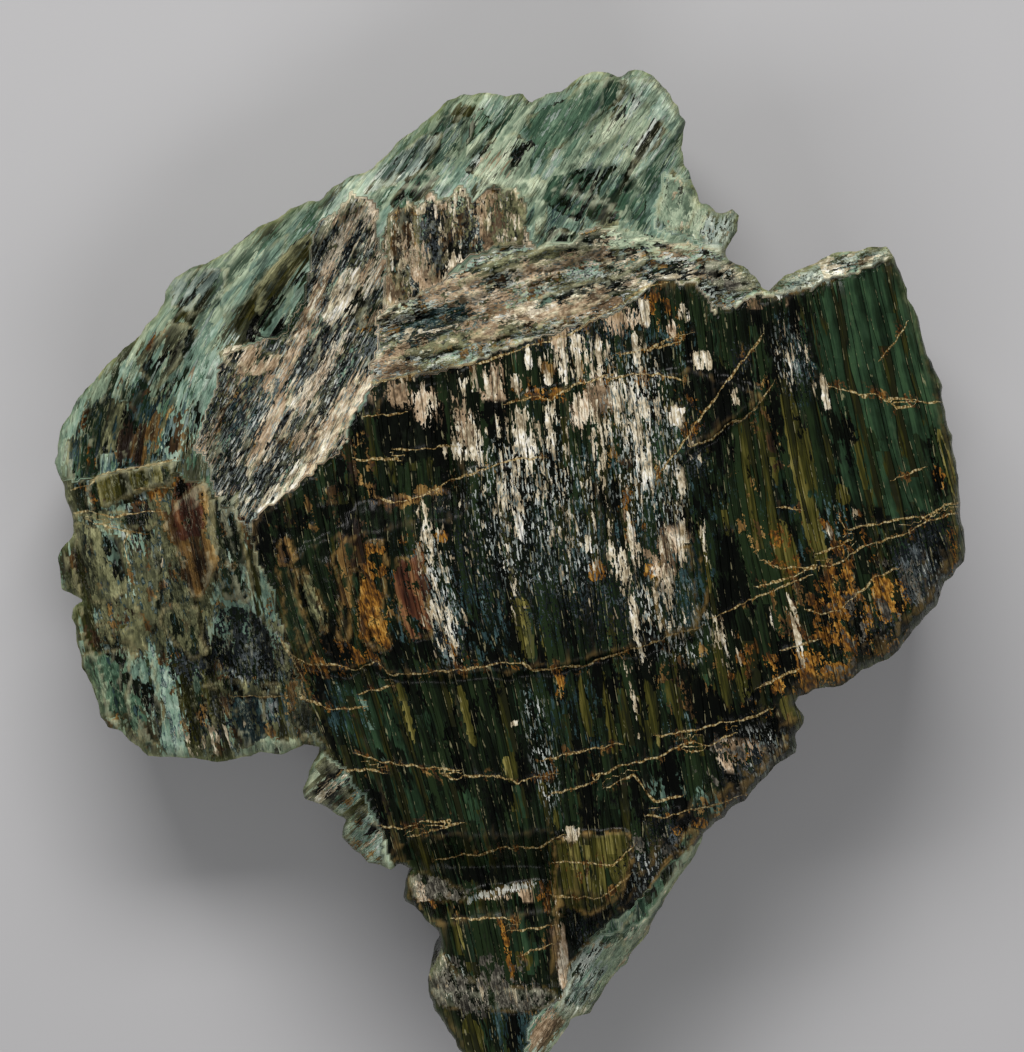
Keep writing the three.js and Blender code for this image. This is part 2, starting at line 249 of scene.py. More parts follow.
# %% Provinces
PROVINCES = [  # edge of the province, and its tilt to the left in degrees; the first one is everywhere
    ("mantle", None, None),
    ("left lobe", [(-100, 16), (-84, 17), (-70, 20), (-62, 16), (-52, 12), (-47, 1), (-40, -19),
        (-34, -38), (-38, -46), (-100, -46)], 11.0),
    ("streak band", [(-40, 64), (-38, 69), (-34, 71), (-31, 74.5), (-27.5, 72), (-25.5, 66), (-24, 60),
        (-20, 54), (-25, 46), (-27.5, 36), (-33.5, 22.4), (-41, 16.6), (-51, 6), (-58, 14), (-62, 24),
        (-58, 42), (-44, 47), (-40, 60)], -28.0),
    ("rear ledge", [(-25, 50), (-24, 69), (-21, 73), (-19, 71), (-16, 75), (-13, 72.5), (-10, 76),
        (-7, 73), (-3, 75.5), (0, 73), (2, 75.5), (4.5, 71), (3, 67.5), (6, 64), (-2, 63), (-10, 60),
        (-16, 52)], 2.0),
    ("schist", [(-26, 50), (-16, 54), (-8, 60), (0, 63.5), (10, 64), (18, 67), (40, 63), (46, 67),
        (60, 62), (80, 70), (78, 61), (67, 57), (50, 53), (40, 50), (37, 56.5), (30, 55.5), (21, 50),
        (10, 46), (-3, 41.5), (-13, 38.7), (-27, 36.5)], -75.0),
    ("face", [(-27, 36.5), (-13, 38.7), (-3, 41.5), (10, 46), (21, 50), (30, 55.5), (37, 56.5), (40, 50),
        (50, 53), (67, 57), (78, 61), (100, 60), (100, -30), (58, -42), (36, -56), (14, -78), (12, -87),
        (12, -100), (-20, -100), (-20, -75), (-22, -60), (-30, -47), (-36, -39), (-43, -19), (-49, 1),
        (-51, 7.8), (-44.5, 13.1), (-41, 16.6), (-33.5, 22.4), (-30, 29)], None),
    ("left splinter", [(-37, -36), (-27, -48), (-24, -61), (-36, -62), (-45, -47)], -47.0),
    ("right splinter", [(40, -54), (26, -72), (14, -77), (11, -86), (4, -92), (3, -100), (16, -100),
        (40, -70)], -34.0),
    ("glassy tab", [(30, 67), (31, 79), (40, 76), (48, 73), (48, 66), (44, 62), (40, 64)], -12.0),
]
FAN_X = [-50, -35, -20, 0, 20, 40, 60, 85]
FAN_ABOVE = np.tan(np.radians([12, 7, 5, 5, 6, 8, 12, 15.5]))  # lean of the laths in the upper half
FAN_BELOW = np.tan(np.radians([20, 19, 17, 14, 9, 10, 13, 15.5]))
FAN_TURN = 8  # the laths turn from one lean to the other over about this height
MANTLE_FAN = ([-40, 25], [1.0, 0.75])  # the sweep of the mantle is weaker to the right
MANTLE_BEND = ([-40, 0, 15, 30, 45, 60, 100], np.tan(np.radians([9, 6, 0, -14, -28, -36, -41])))
names = [name for name, _, _ in PROVINCES]


def province_of(x, y):
    """Number of the last province in the list whose ragged edge holds the place."""
    wx, wy = shaken(x, y, (1.2, 6, 41), (0.9, 1.9, 43))
    number = np.zeros(x.shape, int)
    for index, (_, edge, _) in enumerate(PROVINCES):
        if edge is not None:
            number[line_distance(wx, wy, np.array(edge, float), True)[1] > 0] = index
    return number


def fibre_coordinates(x, y, province):
    """Across and along the fibres. In the mantle, across is x plus the sum of the tilt from the middle
    up to y, which counts for less to the right; in the face it is x plus y times the tilt at x, which is
    another one in the lower half; elsewhere the axes are simply turned."""
    levels = np.linspace(-100, 100, 401)
    bend = np.cumsum(np.interp(levels, *MANTLE_BEND)) * (levels[1] - levels[0])
    bend -= np.interp(0, levels, bend)
    across = x + np.interp(y, levels, bend) * np.interp(x, *MANTLE_FAN)
    along = y.copy()
    in_face = province == names.index("face")
    above = (y + np.hypot(y, FAN_TURN)) / 2
    fan = x + above * np.interp(x, FAN_X, FAN_ABOVE) + (y - above) * np.interp(x, FAN_X, FAN_BELOW)
    across = np.where(in_face, fan, across)
    for index, (_, _, tilt) in enumerate(PROVINCES):
        if tilt is not None:
            turn = math.radians(tilt)
            here = province == index
            across = np.where(here, x * math.cos(turn) + y * math.sin(turn), across)
            along = np.where(here, y * math.cos(turn) - x * math.sin(turn), along)
    return across, along


print("provinces:", ", ".join(names))


# %% [markdown]
# ## Height of the face
#
# The face is a stack of broken plates. A plate is a tilted plateau whose flank falls away steeply
# outside its edge, so the highest of all the plateaus at a place is the surface there. Hollows are the
# same thing upside down. The same could be modelled as a pile of boxes joined by booleans; one height for
# each place is simpler, and it can't leave a gap. The places handed to the edges are shifted by noise
# first, which turns straight edges into broken ones.

# %% Plates
SPOT_HEIGHTS = [  # lowest layer of the face: x, y, height
    (-65, -5, 36), (-80, 15, 31), (-70, -28, 34), (-62, 35, 33), (-45, 50, 30), (-30, 62, 29),
    (-10, 82, 30), (10, 84, 32), (25, 85, 33), (32, 70, 32), (0, 60, 33), (43, 66, 27),
    (-36, -43, 22), (-30, -53, 21), (30, -60, 30), (22, -78, 24), (14, -86, 22), (-10, -80, 33),
    (0, 0, 40), (60, 0, 38), (5, -50, 38),
]
PLATES = [  # height of the plateau, its slope to +X and +Y, steepness of its flank, edge
    ("rear ledge", 40, (0.02, -0.06), 1.6, [
        (-33.9, 68.5), (-31.1, 74.3), (-17.5, 76.1), (-1.5, 76.9), (7.5, 75.7), (18.5, 71.9),
        (26.5, 67.3), (39.5, 62.9), (41.7, 52.9), (26.5, 46.9), (10.5, 43.9), (-25.5, 34.5),
        (-36.5, 43.9)]),
    ("main face", 49, (-0.01, 0.035), 0.95, [
        (-26.5, 36.3), (-13.3, 38.5), (-2.7, 41.3), (10.5, 45.9), (21.1, 49.1), (30.3, 54.9),
        (37.3, 56.1), (40.1, 49.9), (49.5, 52.1), (60.1, 53.9), (67.5, 56.9), (77.5, 61.9),
        (98.5, 32.9), (98.5, -11.1), (58.5, -39.1), (36.5, -47.1), (22.5, -68.1), (10.5, -63.1),
        (-15.5, -63.1), (-21.5, -59.1), (-30.3, -47.1), (-35.5, -39.1), (-41.5, -19.1),
        (-49.1, 0.9), (-50.5, 8.0), (-44.0, 13.5), (-38.0, 18.5), (-33.0, 23.0), (-29.5, 29.0)]),
    ("veined layer", 50.6, (0.0, 0.02), 1.4, [
        (-13.5, 11.9), (-6.3, 18.1), (5.3, 21.3), (3.1, 32.9), (14.5, 35.9), (26.5, 37.3),
        (38.5, 38.5), (50.9, 33.3), (43.5, 28.3), (36.9, 23.3), (30.7, 17.9), (36.5, 0.9),
        (38.0, -12.5), (29.5, -15.1), (18.5, -18.1), (4.5, -21.0), (-5.0, -21.0), (-12.0, -21.5),
        (-22.0, -22.0), (-28.0, -19.5), (-33.0, -21.0), (-41.1, -19.3), (-43.5, 0.9),
        (-25.3, 11.3)]),
    ("tip ledge", 46, (0.0, 0.03), 2.0, [
        (-15.1, -67.3), (-3.9, -65.7), (7.5, -63.7), (10.5, -67.1), (8.1, -84.1), (-16.5, -85.1),
        (-17.5, -70.1)]),
    ("tip foot", 47, (0.0, 0.0), 1.5, [
        (-17.5, -84.9), (-5.5, -85.2), (8.9, -84.5), (14.5, -91.1), (6.5, -103.1),
        (-11.5, -103.1)]),
]
HOLLOWS = [  # height of the floor, steepness of the sides, edge
    ("dark recess", 46, 0.8, [(-30, 34), (-14, 35.5), (-12.5, 15), (-30, 12), (-35, 20)]),
    ("above the tip", 40, 1.0, [(-16, -60.5), (6.5, -60), (7, -63), (-16, -66)]),
    ("gash", 27, 0.8, [(-43, 61), (-38, 60), (-43, 48), (-51, 43), (-52, 47)]),
]
RIM = np.array([  # bearing from the middle, upper edge, width of the bevel, lower edge
    (-180, 22, 14, 10), (-160, 22, 12, 11), (-145, 24, 9, 12), (-136, 26, 6, 13), (-131, 19, 4, 12),
    (-120, 20, 4, 12), (-107, 30, 5, 13), (-95, 38, 6, 15), (-86, 38, 6, 15), (-78, 21, 5, 12),
    (-58, 20, 6, 12), (-45, 27, 10, 13), (-28, 27, 14, 13), (-10, 24, 16, 12), (2, 28, 12, 12),
    (12, 38, 5, 13), (34, 43, 4, 14), (41, 40, 9, 15), (50, 34, 6, 16), (57, 27, 5, 17),
    (70, 24, 7, 13), (98, 22, 9, 12), (119, 20, 10, 11), (145, 20, 12, 10), (180, 22, 14, 10),
])


def rim_at(x, y):
    """Upper edge, bevel width and lower edge of the rim on the bearing of a place."""
    bearing = np.degrees(np.arctan2(y, x))
    return [np.interp(bearing, RIM[:, 0], RIM[:, column]) for column in (1, 2, 3)]


def plate_height(x, y):
    """Highest plateau, or the lowest layer where no plate reaches, cut down to the hollows."""
    wx, wy = shaken(x, y, (1.0, 4.5, 11), (0.6, 1.7, 13))
    weights = [1 / (np.hypot(x - sx, y - sy) + 4) ** 3 for sx, sy, _ in SPOT_HEIGHTS]
    height = sum(w * spot[2] for w, spot in zip(weights, SPOT_HEIGHTS)) / sum(weights)
    for _, level, (slope_x, slope_y), flank, edge in PLATES:
        edge = np.array(edge, float)
        middle = edge.mean(axis=0)
        outside = np.maximum(0, -line_distance(wx, wy, edge, True)[1])
        plateau = level + slope_x * (x - middle[0]) + slope_y * (y - middle[1])
        height = np.maximum(height, plateau - flank * outside)
    for _, floor_level, side, edge in HOLLOWS:
        outside = np.maximum(0, -line_distance(wx, wy, np.array(edge, float), True)[1])
        height = np.minimum(height, floor_level + side * outside)
    return height


print("plates:", len(PLATES), "hollows:", len(HOLLOWS))


# %% [markdown]
# ## Single facets
#
# Some broken facets are large enough to be known one by one: leaf-shaped blades on the lobes, long
# slabs on the schist and the rear ledge, a brown lens, scalloped plates on the face, crusted ledges at
# the tip. They could be separate pieces laid on the rock, but they grew with it and their edges must
# melt into it. So each is an outline that lifts or lowers the surface a little and has one mineral for
# itself.

# %% Facets of the lobes
FACETS = [  # rise, lean to +X, mineral coat, its density, outline
    (0.9, 0.10, "leaf", .95, [(14.6, 96.3), (21.3, 98), (24.2, 96.3), (21.3, 91.9), (15.4, 87.4),
        (9.5, 83), (5.8, 80), (5, 85.2), (3.6, 89.6), (8, 91.9), (11.7, 93.3)]),
    (0.8, -0.12, "pale", .9, [(23.8, 93), (19.8, 89.6), (16.8, 85.9), (15.4, 83), (18.3, 84),
        (21.3, 85.2), (23.5, 88.9)]),
    (0.7, 0.15, "frost", .6, [(25, 97.5), (30, 97), (33.5, 90), (30, 84), (26, 80), (23, 84), (25, 91)]),
    (1.1, 0.10, "pale", .85, [(33, 79.3), (36, 75.6), (38.2, 71.9), (36, 67.4), (31.6, 66.7),
        (30.1, 70.4), (30.8, 74.8)]),
    (1.2, 0.05, "frost", .8, [(40.4, 71.1), (46.7, 70.4), (45.6, 64.4), (41.9, 61.5), (37.5, 65.2)]),
    (0.8, -0.1, "mid", .9, [(22, 97), (27, 97.8), (30.8, 95.6), (33, 91.9), (34.9, 87.5), (33, 85.3),
        (30, 89), (27.2, 92.6)]),
    (0.9, 0.0, "pale", .9, [(4, 76), (6, 78), (8, 76), (7.5, 70), (6.8, 66), (5.5, 66), (5.5, 71)]),
    (0.8, 0.1, "moss", .8, [(18, 67.6), (19, 70.5), (21.3, 72.4), (22.7, 70.5), (22.4, 67.6),
        (19.8, 66.5)]),
    (0.7, 0.1, "leaf", .8, [(-24, 72), (-20, 77), (-15, 80), (-13, 77.5), (-17, 73), (-22, 70)]),
    (0.8, -0.1, "mid", .9, [(-58, 54), (-50, 62), (-44, 67), (-46, 60), (-53, 52), (-57, 50)]),
    (-0.8, 0.12, "leaf", .9, [(-5.3, 91.9), (-3, 88.9), (-6.7, 85.2), (-11.2, 80.7), (-13.4, 80),
        (-10.4, 85.2), (-8.2, 89.6)]),
    (-1.0, 0.0, "leaf", .7, [(9, 78), (15, 79), (22, 80), (28, 74), (27, 69), (19, 68.5), (11, 69.5),
        (7, 73)]),
    (0.9, -0.10, "pale", .8, [(-4, 85), (1, 86.5), (5.5, 84.5), (4, 79), (6, 74), (2, 73), (-3, 76),
        (-9, 79)]),
    (0.8, 0.10, "frost", .7, [(-24, 81), (-17, 86.5), (-13, 86), (-16, 80), (-22, 76), (-29, 74)]),
    (1.4, -0.15, "moss", .9, [(-39.7, 67.2), (-43.5, 63.8), (-48, 59.3), (-50.7, 55.5), (-51, 50.9),
        (-49.6, 49.4), (-48, 54), (-43.5, 58.5), (-39.7, 63)]),
    (-1.2, 0.0, "deep", .7, [(-40.5, 59.3), (-45, 55.5), (-49.6, 50.2), (-50.7, 47.9), (-47.3, 44.1),
        (-45, 45.6), (-40.5, 51.7)]),
    (0.8, 0.12, "frost", .6, [(-67, 58), (-61, 60), (-56, 59), (-58, 53), (-63, 50), (-68, 52)]),
    (0.9, 0.0, "tan", .8, [(-58, 42.6), (-54, 44), (-50.3, 43.4), (-45.8, 41.8), (-46.5, 39.6), (-51, 38),
        (-55.6, 39.6)]),
    (-0.9, 0.0, "moss", .8, [(-85, 30), (-81, 33), (-77, 33), (-74, 27), (-77, 23), (-83, 22)]),
    (1.0, 0.1, "moss", .6, [(-75, 41), (-68, 49), (-62, 47), (-66, 40), (-71, 35)]),
]

# %% Facets of the schist and the rear ledge
FACETS += [
    (1.5, 0.0, "tan", .55, [(2, 47), (10, 49), (19, 52), (26, 56), (24, 58.5), (16, 56.5), (8, 54),
        (1, 51)]),
    (-1.2, 0.0, "slate", .8, [(-22, 42), (-14, 45), (-6, 50), (-8, 53.5), (-15, 51), (-22, 47)]),
    (1.3, 0.0, "moss", .8, [(-11, 55), (0, 59), (10, 60.5), (18, 63), (14, 64.5), (4, 62.5), (-6, 60)]),
    (1.5, 0.0, "pale", .75, [(6, 63), (9, 67.5), (14, 66), (22, 67.5), (30, 65), (38, 63.5), (36, 62),
        (26, 63), (16, 63)]),
    # a sunk black facet is painted shade in a hollow
    (-1.4, 0.0, "black", .8, [(26, 57), (33, 60), (40, 60), (43, 57), (38, 57), (31, 56.5)]),
    (1.6, 0.0, "cream", .45, [(21, 57), (26, 59), (30, 62), (25, 63), (19, 60.5)]),
    (1.4, 0.0, "moss", .7, [(-24, 41), (-16, 41.5), (-6, 44), (3, 46.5), (1, 48.5), (-8, 46.5),
        (-18, 43.5)]),
    (1.6, 0.0, "crust", .7, [(44, 61), (50, 55), (46, 54), (40, 55.5), (39, 60)]),
    (1.2, 0.1, "brown", .7, [(-24, 70), (-19, 72), (-18, 63), (-20, 56), (-24, 58)]),
    (1.5, -0.1, "pepper", .7, [(-18, 72), (-12, 73.5), (-12, 62), (-15, 56), (-18, 60)]),
    (1.0, 0.1, "moss", .8, [(-4, 74), (1, 75), (4, 70), (2, 64), (-2, 63.5), (-5, 67)]),
    # a sunk black facet is painted shade in a hollow
    (-1.6, 0.0, "black", 1.1, [(-33.4, 54), (-30.5, 54.6), (-28.6, 53), (-28.9, 50.5), (-31, 49.5),
        (-33.4, 51)]),
    (1.0, 0.0, "tan", .7, [(-30, 47), (-24, 48.5), (-21, 51), (-25, 53), (-30, 50.5)]),
]

# %% Facets of the left lobe
FACETS += [
    (2.0, 0.0, "brown", 1.1, [(-60.5, 17), (-66, 13), (-69, 7.5), (-66.5, 3), (-65, -2), (-63.5, -6.5),
        (-61.5, -7), (-59, -3), (-57.8, 2), (-59.5, 8), (-59.5, 13)]),
    (1.6, 0.0, "deep", .6, [(-59.5, 13), (-54, 14), (-52.5, 5), (-51, -4), (-51, -8), (-57, -7.5),
        (-58.2, 2)]),
    (1.8, 0.0, "olive", .85, [(-85, 15), (-83, 17.5), (-80, 18.5), (-75, 19), (-70, 20.8), (-66, 20.5),
        (-67.5, 16), (-72, 15), (-77, 13.5), (-81, 11), (-84, 10.5)]),
    (0.9, 0.0, "moss", .9, [(-88, 9.5), (-80, 8.5), (-77, 7), (-72, 7), (-69, 9), (-70, 10.8),
        (-76, 10.3), (-82, 11)]),
    (0.8, 0.1, "moss", .9, [(-87, 8), (-80, 7), (-77, 5), (-76, -5), (-80, -8), (-86, -7)]),
    (0.7, 0.1, "leaf", 1, [(-86, -18), (-76, -17), (-75, -24), (-76, -30), (-83, -30.5)]),
    (0.9, -0.1, "leaf", .7, [(-75.5, -18), (-71.5, -19), (-69, -30), (-70, -36), (-75, -35),
        (-76.5, -28)]),
    (1.2, 0.0, "moss", 1, [(-82.5, -11.5), (-80, -12), (-77.5, -13), (-75.5, -12), (-75, -8),
        (-73.5, -8.5), (-72.5, -12), (-72.5, -17), (-73.5, -19), (-76, -15.5), (-80, -16),
        (-82.5, -14.5)]),
    (1.0, 0.1, "moss", .9, [(-69, -8), (-62, -8.5), (-61.5, -15), (-60, -18), (-64, -19), (-67.5, -15),
        (-70, -12)]),
    (0.9, 0.0, "slate", .9, [(-54.5, -27), (-49, -27), (-48, -35), (-52.5, -37), (-55, -33)]),
    (0.8, 0.0, "moss", .9, [(-61, -24), (-56, -23), (-50, -24), (-45, -24), (-45, -25.8), (-50, -26),
        (-55, -26.5)]),
    (1.0, 0.0, "pale", .9, [(-50, -35), (-45, -34.5), (-41, -35.5), (-43, -38), (-49, -38.5)]),
    (0.8, 0.0, "pale", .8, [(-81, -30.5), (-76.5, -31), (-75, -36), (-77, -36)]),
    (-1.0, 0.0, "pepper", .55, [(-58, -9), (-52, -8.5), (-47, -14), (-46, -21), (-52, -23), (-60, -19)]),
]

# %% Facets of the face and the tip
FACETS += [
    (0.9, 0.0, "brown", .9, [(-46, 3), (-44.5, 6), (-43, 5), (-42, 1), (-43, 0), (-45.5, 0)]),
    (0.7, 0.0, "moss", 1.1, [(-40.5, -1), (-39, -2), (-37.5, -6), (-36, -10), (-36, -13), (-37, -14),
        (-38.5, -11), (-39.5, -9), (-40.5, -5)]),
    (0.9, 0.0, "brown", .75, [(-30, 6), (-33, 4.5), (-34.5, 2), (-35, 0), (-34, -1), (-33.5, -5),
        (-33.5, -12), (-34, -15), (-32, -16), (-31, -12), (-31, -5), (-31.5, -1.5), (-30, -1)]),
    (0.9, 0.0, "ochre", .62, [(-28, 4.5), (-24.5, 4.5), (-24, 1), (-24.5, -4), (-24, -6), (-25, -6.5),
        (-25, -11), (-24, -14), (-23, -16.5), (-25, -17), (-28, -15.5), (-30, -14), (-29, -11),
        (-29.5, -8), (-28.5, -5), (-28.8, -2)]),
    # a sunk black facet is painted shade in a hollow
    (-0.6, 0.0, "black", .9, [(-38, 12), (-31, 11.5), (-31, 7), (-35, 5), (-36, 1), (-38, 1)]),
    (0.9, 0.0, "lens", .8, [(-22, 1), (-17, 2), (-15.5, -4), (-15, -14), (-19, -15), (-22, -10)]),
    (0.7, 0.0, "deep", .8, [(-46, 1), (-42, -1), (-41, -8), (-38, -14), (-40, -17), (-44, -14)]),
    (1.4, 0.0, "olive", .8, [(9, -55), (14, -53.5), (24, -53), (25, -57), (24, -62), (22, -67), (16, -70),
        (10, -68), (9, -62)]),
    (0.3, 0.0, "crust", .8, [(-20, -62), (-17, -61.5), (-12, -63.5), (-8, -65.5), (-9, -67.3), (-15, -67),
        (-19, -66.5)]),
    # a glint facet: a painted highlight along the bright edge above the tip
    (0.4, 0.0, "glint", .9, [(-8, -66.3), (-3, -65.2), (1, -63.9), (5.5, -63.2), (5, -64.3), (0, -65.3),
        (-8, -67.4)]),
    (0.5, 0.0, "crust", .7, [(-16.5, -80), (-13, -77.5), (-10, -82), (-4, -83.5), (3, -84), (8, -84),
        (10, -86), (8, -88.2), (2, -89), (-4, -88.5), (-9, -88.5), (-14, -87)]),
    (0.8, 0.0, "frost", .7, [(12, -80), (17, -75), (22, -76), (18, -84), (14, -90), (9.5, -90)]),
    (1.0, 0.1, "leaf", .8, [(38, -53), (36, -52), (27, -66), (22, -74), (24, -78), (29, -72),
        (33.5, -64)]),
    (0.3, 0.0, "cream", 1.6, [(31.8, 31.4), (34.6, 31), (34.9, 27.4), (32.2, 27.6)]),
    (0.5, 0.0, "frost", .75, [(51, 54), (55, 57.5), (58, 58), (64.5, 61.5), (69, 62.5), (75, 63),
        (76.5, 61.5), (72, 59.5), (66, 57), (59, 54.5), (54, 53)]),
    (0.8, 0.0, "slate", .6, [(38, -13), (40, -5), (37, 4), (31, 3), (29, -6), (31, -14)]),
]
print("facets:", len(FACETS))


# %% Share of each facet
FACET_SCALLOPS = (0.45, 1.9, 171)
FACET_SLOPE = 0.45  # half the width over which a facet rises


def facet_gaps(x, y):
    """For each facet in turn, its row and the distance inside its scalloped edge, negative outside."""
    wx, wy = shaken(x, y, FACET_SCALLOPS, octaves=2)
    for row in FACETS:
        yield row, line_distance(wx, wy, np.array(row[4], float), True)[1]


def facet_lift(x, y):
    """Sum of the rises of the facets; each starts over about a millimetre at the facet's edge."""
    lift = np.zeros(x.shape)
    for (rise, lean, _, _, corners), inside in facet_gaps(x, y):
        middle_x = np.mean([corner[0] for corner in corners])
        lift += smooth_step(inside, -FACET_SLOPE, FACET_SLOPE) * (rise + lean * (x - middle_x))
    return lift


# %% [markdown]
# ## Relief of the fibres
#
# On top of the plates comes what splitting does. The face splits into laths, long flat strips that
# each stand a little higher or lower than the next and end where they snapped. The mantle splits into
# flat blades that overlap like shingles. The schist is a rubble of short blades and chips. A
# displacement texture would do for soft lumps, but laths and blades have ends and straight sides, so
# they are worked out one by one, from the number of the strip or the cell that a place lies in.


# %% Fibre relief
def laths(across, along, width, length, seed):
    """One height from 0 to 1 for each strip between cross breaks: strips are numbered across the
    fibres, and along each strip the breaks are shifted by the strip's own random amount. From one
    piece to the next the height slopes over a tenth of the length."""
    wobble = 0.35 * noise(along / 23.0, across / 9.0, seed=seed + 3)
    strip = np.floor(across / width + wobble)
    zero = np.zeros(strip.shape, int)
    start = corner_value(strip.astype(np.int64), zero, zero, seed)
    place = along / length + 7 * start
    piece = np.floor(place)
    before, here = (corner_value(strip.astype(np.int64), (piece + step).astype(np.int64), zero, seed + 1)
                    for step in (-1, 0))
    return before + (here - before) * smooth_step(place - piece, 0, 0.1)


BLADE_HALF_WIDTH = 0.75  # of a cell, at the middle of a blade; it narrows to a point at both ends
BLADE_LEVEL, TILT_ACROSS, TILT_ALONG = 0.6, 0.9, 0.5
MEAN_BLADE = 0.3  # about the mean height of a blade; taken off, so that the relief adds no thickness


def shingles(across, along, width, length, seed):
    """Overlapping flat blades: their height from 0 to about 1, and a number from 0 to 1 for each. Every
    cell of a grid holds one blade: a pointed plate at a random place, with its own level and tilt. Of
    the blades that cover a place the one with the highest level shows."""
    bend_u = 0.16 * fractal(across / width, 1.5 * along / length, seed=seed + 9, octaves=2)
    bend_v = 0.12 * fractal(2 * across / width, 3 * along / length, seed=seed + 10, octaves=2)
    u, v = across / width + bend_u, along / length + bend_v
    cell_u, cell_v = np.floor(u).astype(np.int64), np.floor(v).astype(np.int64)
    top_level, height, winner = np.full(u.shape, -1.0), np.zeros(u.shape), np.zeros(u.shape)
    for step_u in (-1, 0, 1):
        for step_v in (-1, 0, 1):
            cu, cv = cell_u + step_u, cell_v + step_v
            place_u, place_v, level, tilt_u, tilt_v, number = (
                corner_value(cu, cv, np.zeros_like(cu), seed + k) for k in range(6))
            du, dv = u - cu - place_u, v - cv - place_v
            shows = (np.abs(du) < BLADE_HALF_WIDTH * (1 - dv**2)) & (level > top_level)
            plate = (BLADE_LEVEL * level + TILT_ACROSS * (tilt_u - 0.5) * du
                     + TILT_ALONG * (tilt_v - 0.5) * dv)
            top_level = np.where(shows, level, top_level)
            height = np.where(shows, plate, height)
            winner = np.where(shows, number, winner)
    return height, winner


LATHS = ((0.8, (3.1, 33, 61)), (0.5, (1.5, 17, 67)))  # height; then width, length and seed
LONG_BLADE = (5.5, 17, 301)  # width, length and seed
SHORT_BLADE = (2.1, 6, 311)
CHIP = (1.5, 1.9, 321)
RELIEF = {  # height in mm of long blades, short blades, chips and laths in each province
    "mantle": (2.6, 1.0, 0.2, 0.0),
    "left lobe": (1.9, 1.2, 0.6, 0.5),
    "streak band": (1.2, 1.5, 1.2, 0.0),
    "rear ledge": (1.2, 1.3, 0.9, 0.5),
    "schist": (2.0, 1.8, 1.3, 0.0),
    "face": (0.15, 0.15, 0.1, 1.0),
    "left splinter": (1.2, 0.6, 0.3, 0.3),
    "right splinter": (1.0, 0.5, 0.2, 0.3),
    "glassy tab": (1.2, 0.6, 0.2, 0.0),
}


def relief(across, along, province, rough):
    """Height that the fibres add to the plates: each kind of relief by its share in the province, and
    chips and short blades wherever the surface is marked rough."""
    shares = np.array([RELIEF[name] for name in names])[province].T
    long_blades, short_blades, chips = (
        shingles(across, along, *size)[0] - MEAN_BLADE for size in (LONG_BLADE, SHORT_BLADE, CHIP))
    strips = sum(height * (laths(across, along, *size) - 0.5) for height, size in LATHS)
    return (shares[0] * long_blades + (shares[1] + 0.7 * rough) * short_blades
            + (shares[2] + 1.0 * rough) * chips + shares[3] * strips)


BEVEL_SHARE = 0.25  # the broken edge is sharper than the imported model's bevel
TERRACE = 1.8  # height of a step in the bevel


def face_height(x, y, rimwards, across, along, province, rough):
    """Plates and relief, brought down over the bevel towards the upper edge of the rim, halfway between
    a smooth bevel and one in steps."""
    top, bevel, _ = rim_at(x, y)
    height = plate_height(x, y)
    short = 1 - np.clip(rimwards / (BEVEL_SHARE * bevel), 0, 1)
    drop = (height - np.minimum(height, top)) * BEVEL_SHARE * short**2
    terraces = 0.9 * np.floor(drop / TERRACE + 0.5 * fractal(x / 5, y / 5, seed=141)) * TERRACE
    drop = np.clip((drop + terraces) / 2, 0, None)
    return height - drop + relief(across, along, province, rough) + facet_lift(x, y)


# %% [markdown]
# ## One closed surface
#
# A regular grid is laid over the plan and the squares inside the outline are kept. Points on the
# border of the kept squares slide to the outline, and the points near them are evened out. The face
# uses the grid at half its pitch; the underside uses it as it is, since it needs less detail. The
# border hangs down in rows between the two and makes the broken rim. Joining two height fields by a
# boolean or a remesh would be shorter to write, but would round off the laths.

# %% Grid over the plan
PITCH = 1.16  # side of a square on the underside; a face square is half that
KEEP_SHARE = 0.15  # a square is kept if its middle lies this part of the pitch inside the outline
corner_low = outline.min(axis=0) - PITCH
counts = np.ceil((outline.max(axis=0) + PITCH - corner_low) / PITCH).astype(int)
middles = np.stack(np.meshgrid(*(corner_low[k] + PITCH * (np.arange(counts[k]) + 0.5) for k in (0, 1)),
                               indexing="ij"))
kept = line_distance(middles[0], middles[1], outline, True)[1] > KEEP_SHARE * PITCH


def drop_pinches(cells):
    """Leaves out squares that meet another only across a corner, and single squares that stick out."""
    while True:
        padded = np.pad(cells, 1)
        count = sum(padded[1 + dx:padded.shape[0] - 1 + dx, 1 + dy:padded.shape[1] - 1 + dy]
                    for dx, dy in ((1, 0), (-1, 0), (0, 1), (0, -1)))
        pinched = count < 2
        for dx in (-1, 1):
            for dy in (-1, 1):
                diagonal = np.roll(cells, (-dx, -dy), (0, 1))
                beside = np.roll(cells, -dx, 0) | np.roll(cells, -dy, 1)
                pinched |= diagonal & ~beside
        if not (cells & pinched).any():
            return cells
        cells = cells & ~pinched


kept = drop_pinches(kept)
fine = np.repeat(np.repeat(kept, 2, axis=0), 2, axis=1)
print("squares kept:", int(kept.sum()), "on the underside,", int(fine.sum()), "on the face")


def corners_used(cells):
    """How many kept squares meet at each corner of the grid."""
    padded = np.pad(cells.astype(int), 1)
    return padded[:-1, :-1] + padded[1:, :-1] + padded[:-1, 1:] + padded[1:, 1:]


use = corners_used(fine)
used, border = use > 0, (use > 0) & (use < 4)
steps = [corner_low[k] + PITCH / 2 * np.arange(fine.shape[k] + 1) for k in (0, 1)]
plan = np.stack(np.meshgrid(*steps, indexing="ij"), axis=-1)


def snap_to(points, line):
    """Nearest of the line's stations to each point."""
    gaps = ((points[:, None, :] - line[None, :, :]) ** 2).sum(axis=2)
    return line[gaps.argmin(axis=1)]


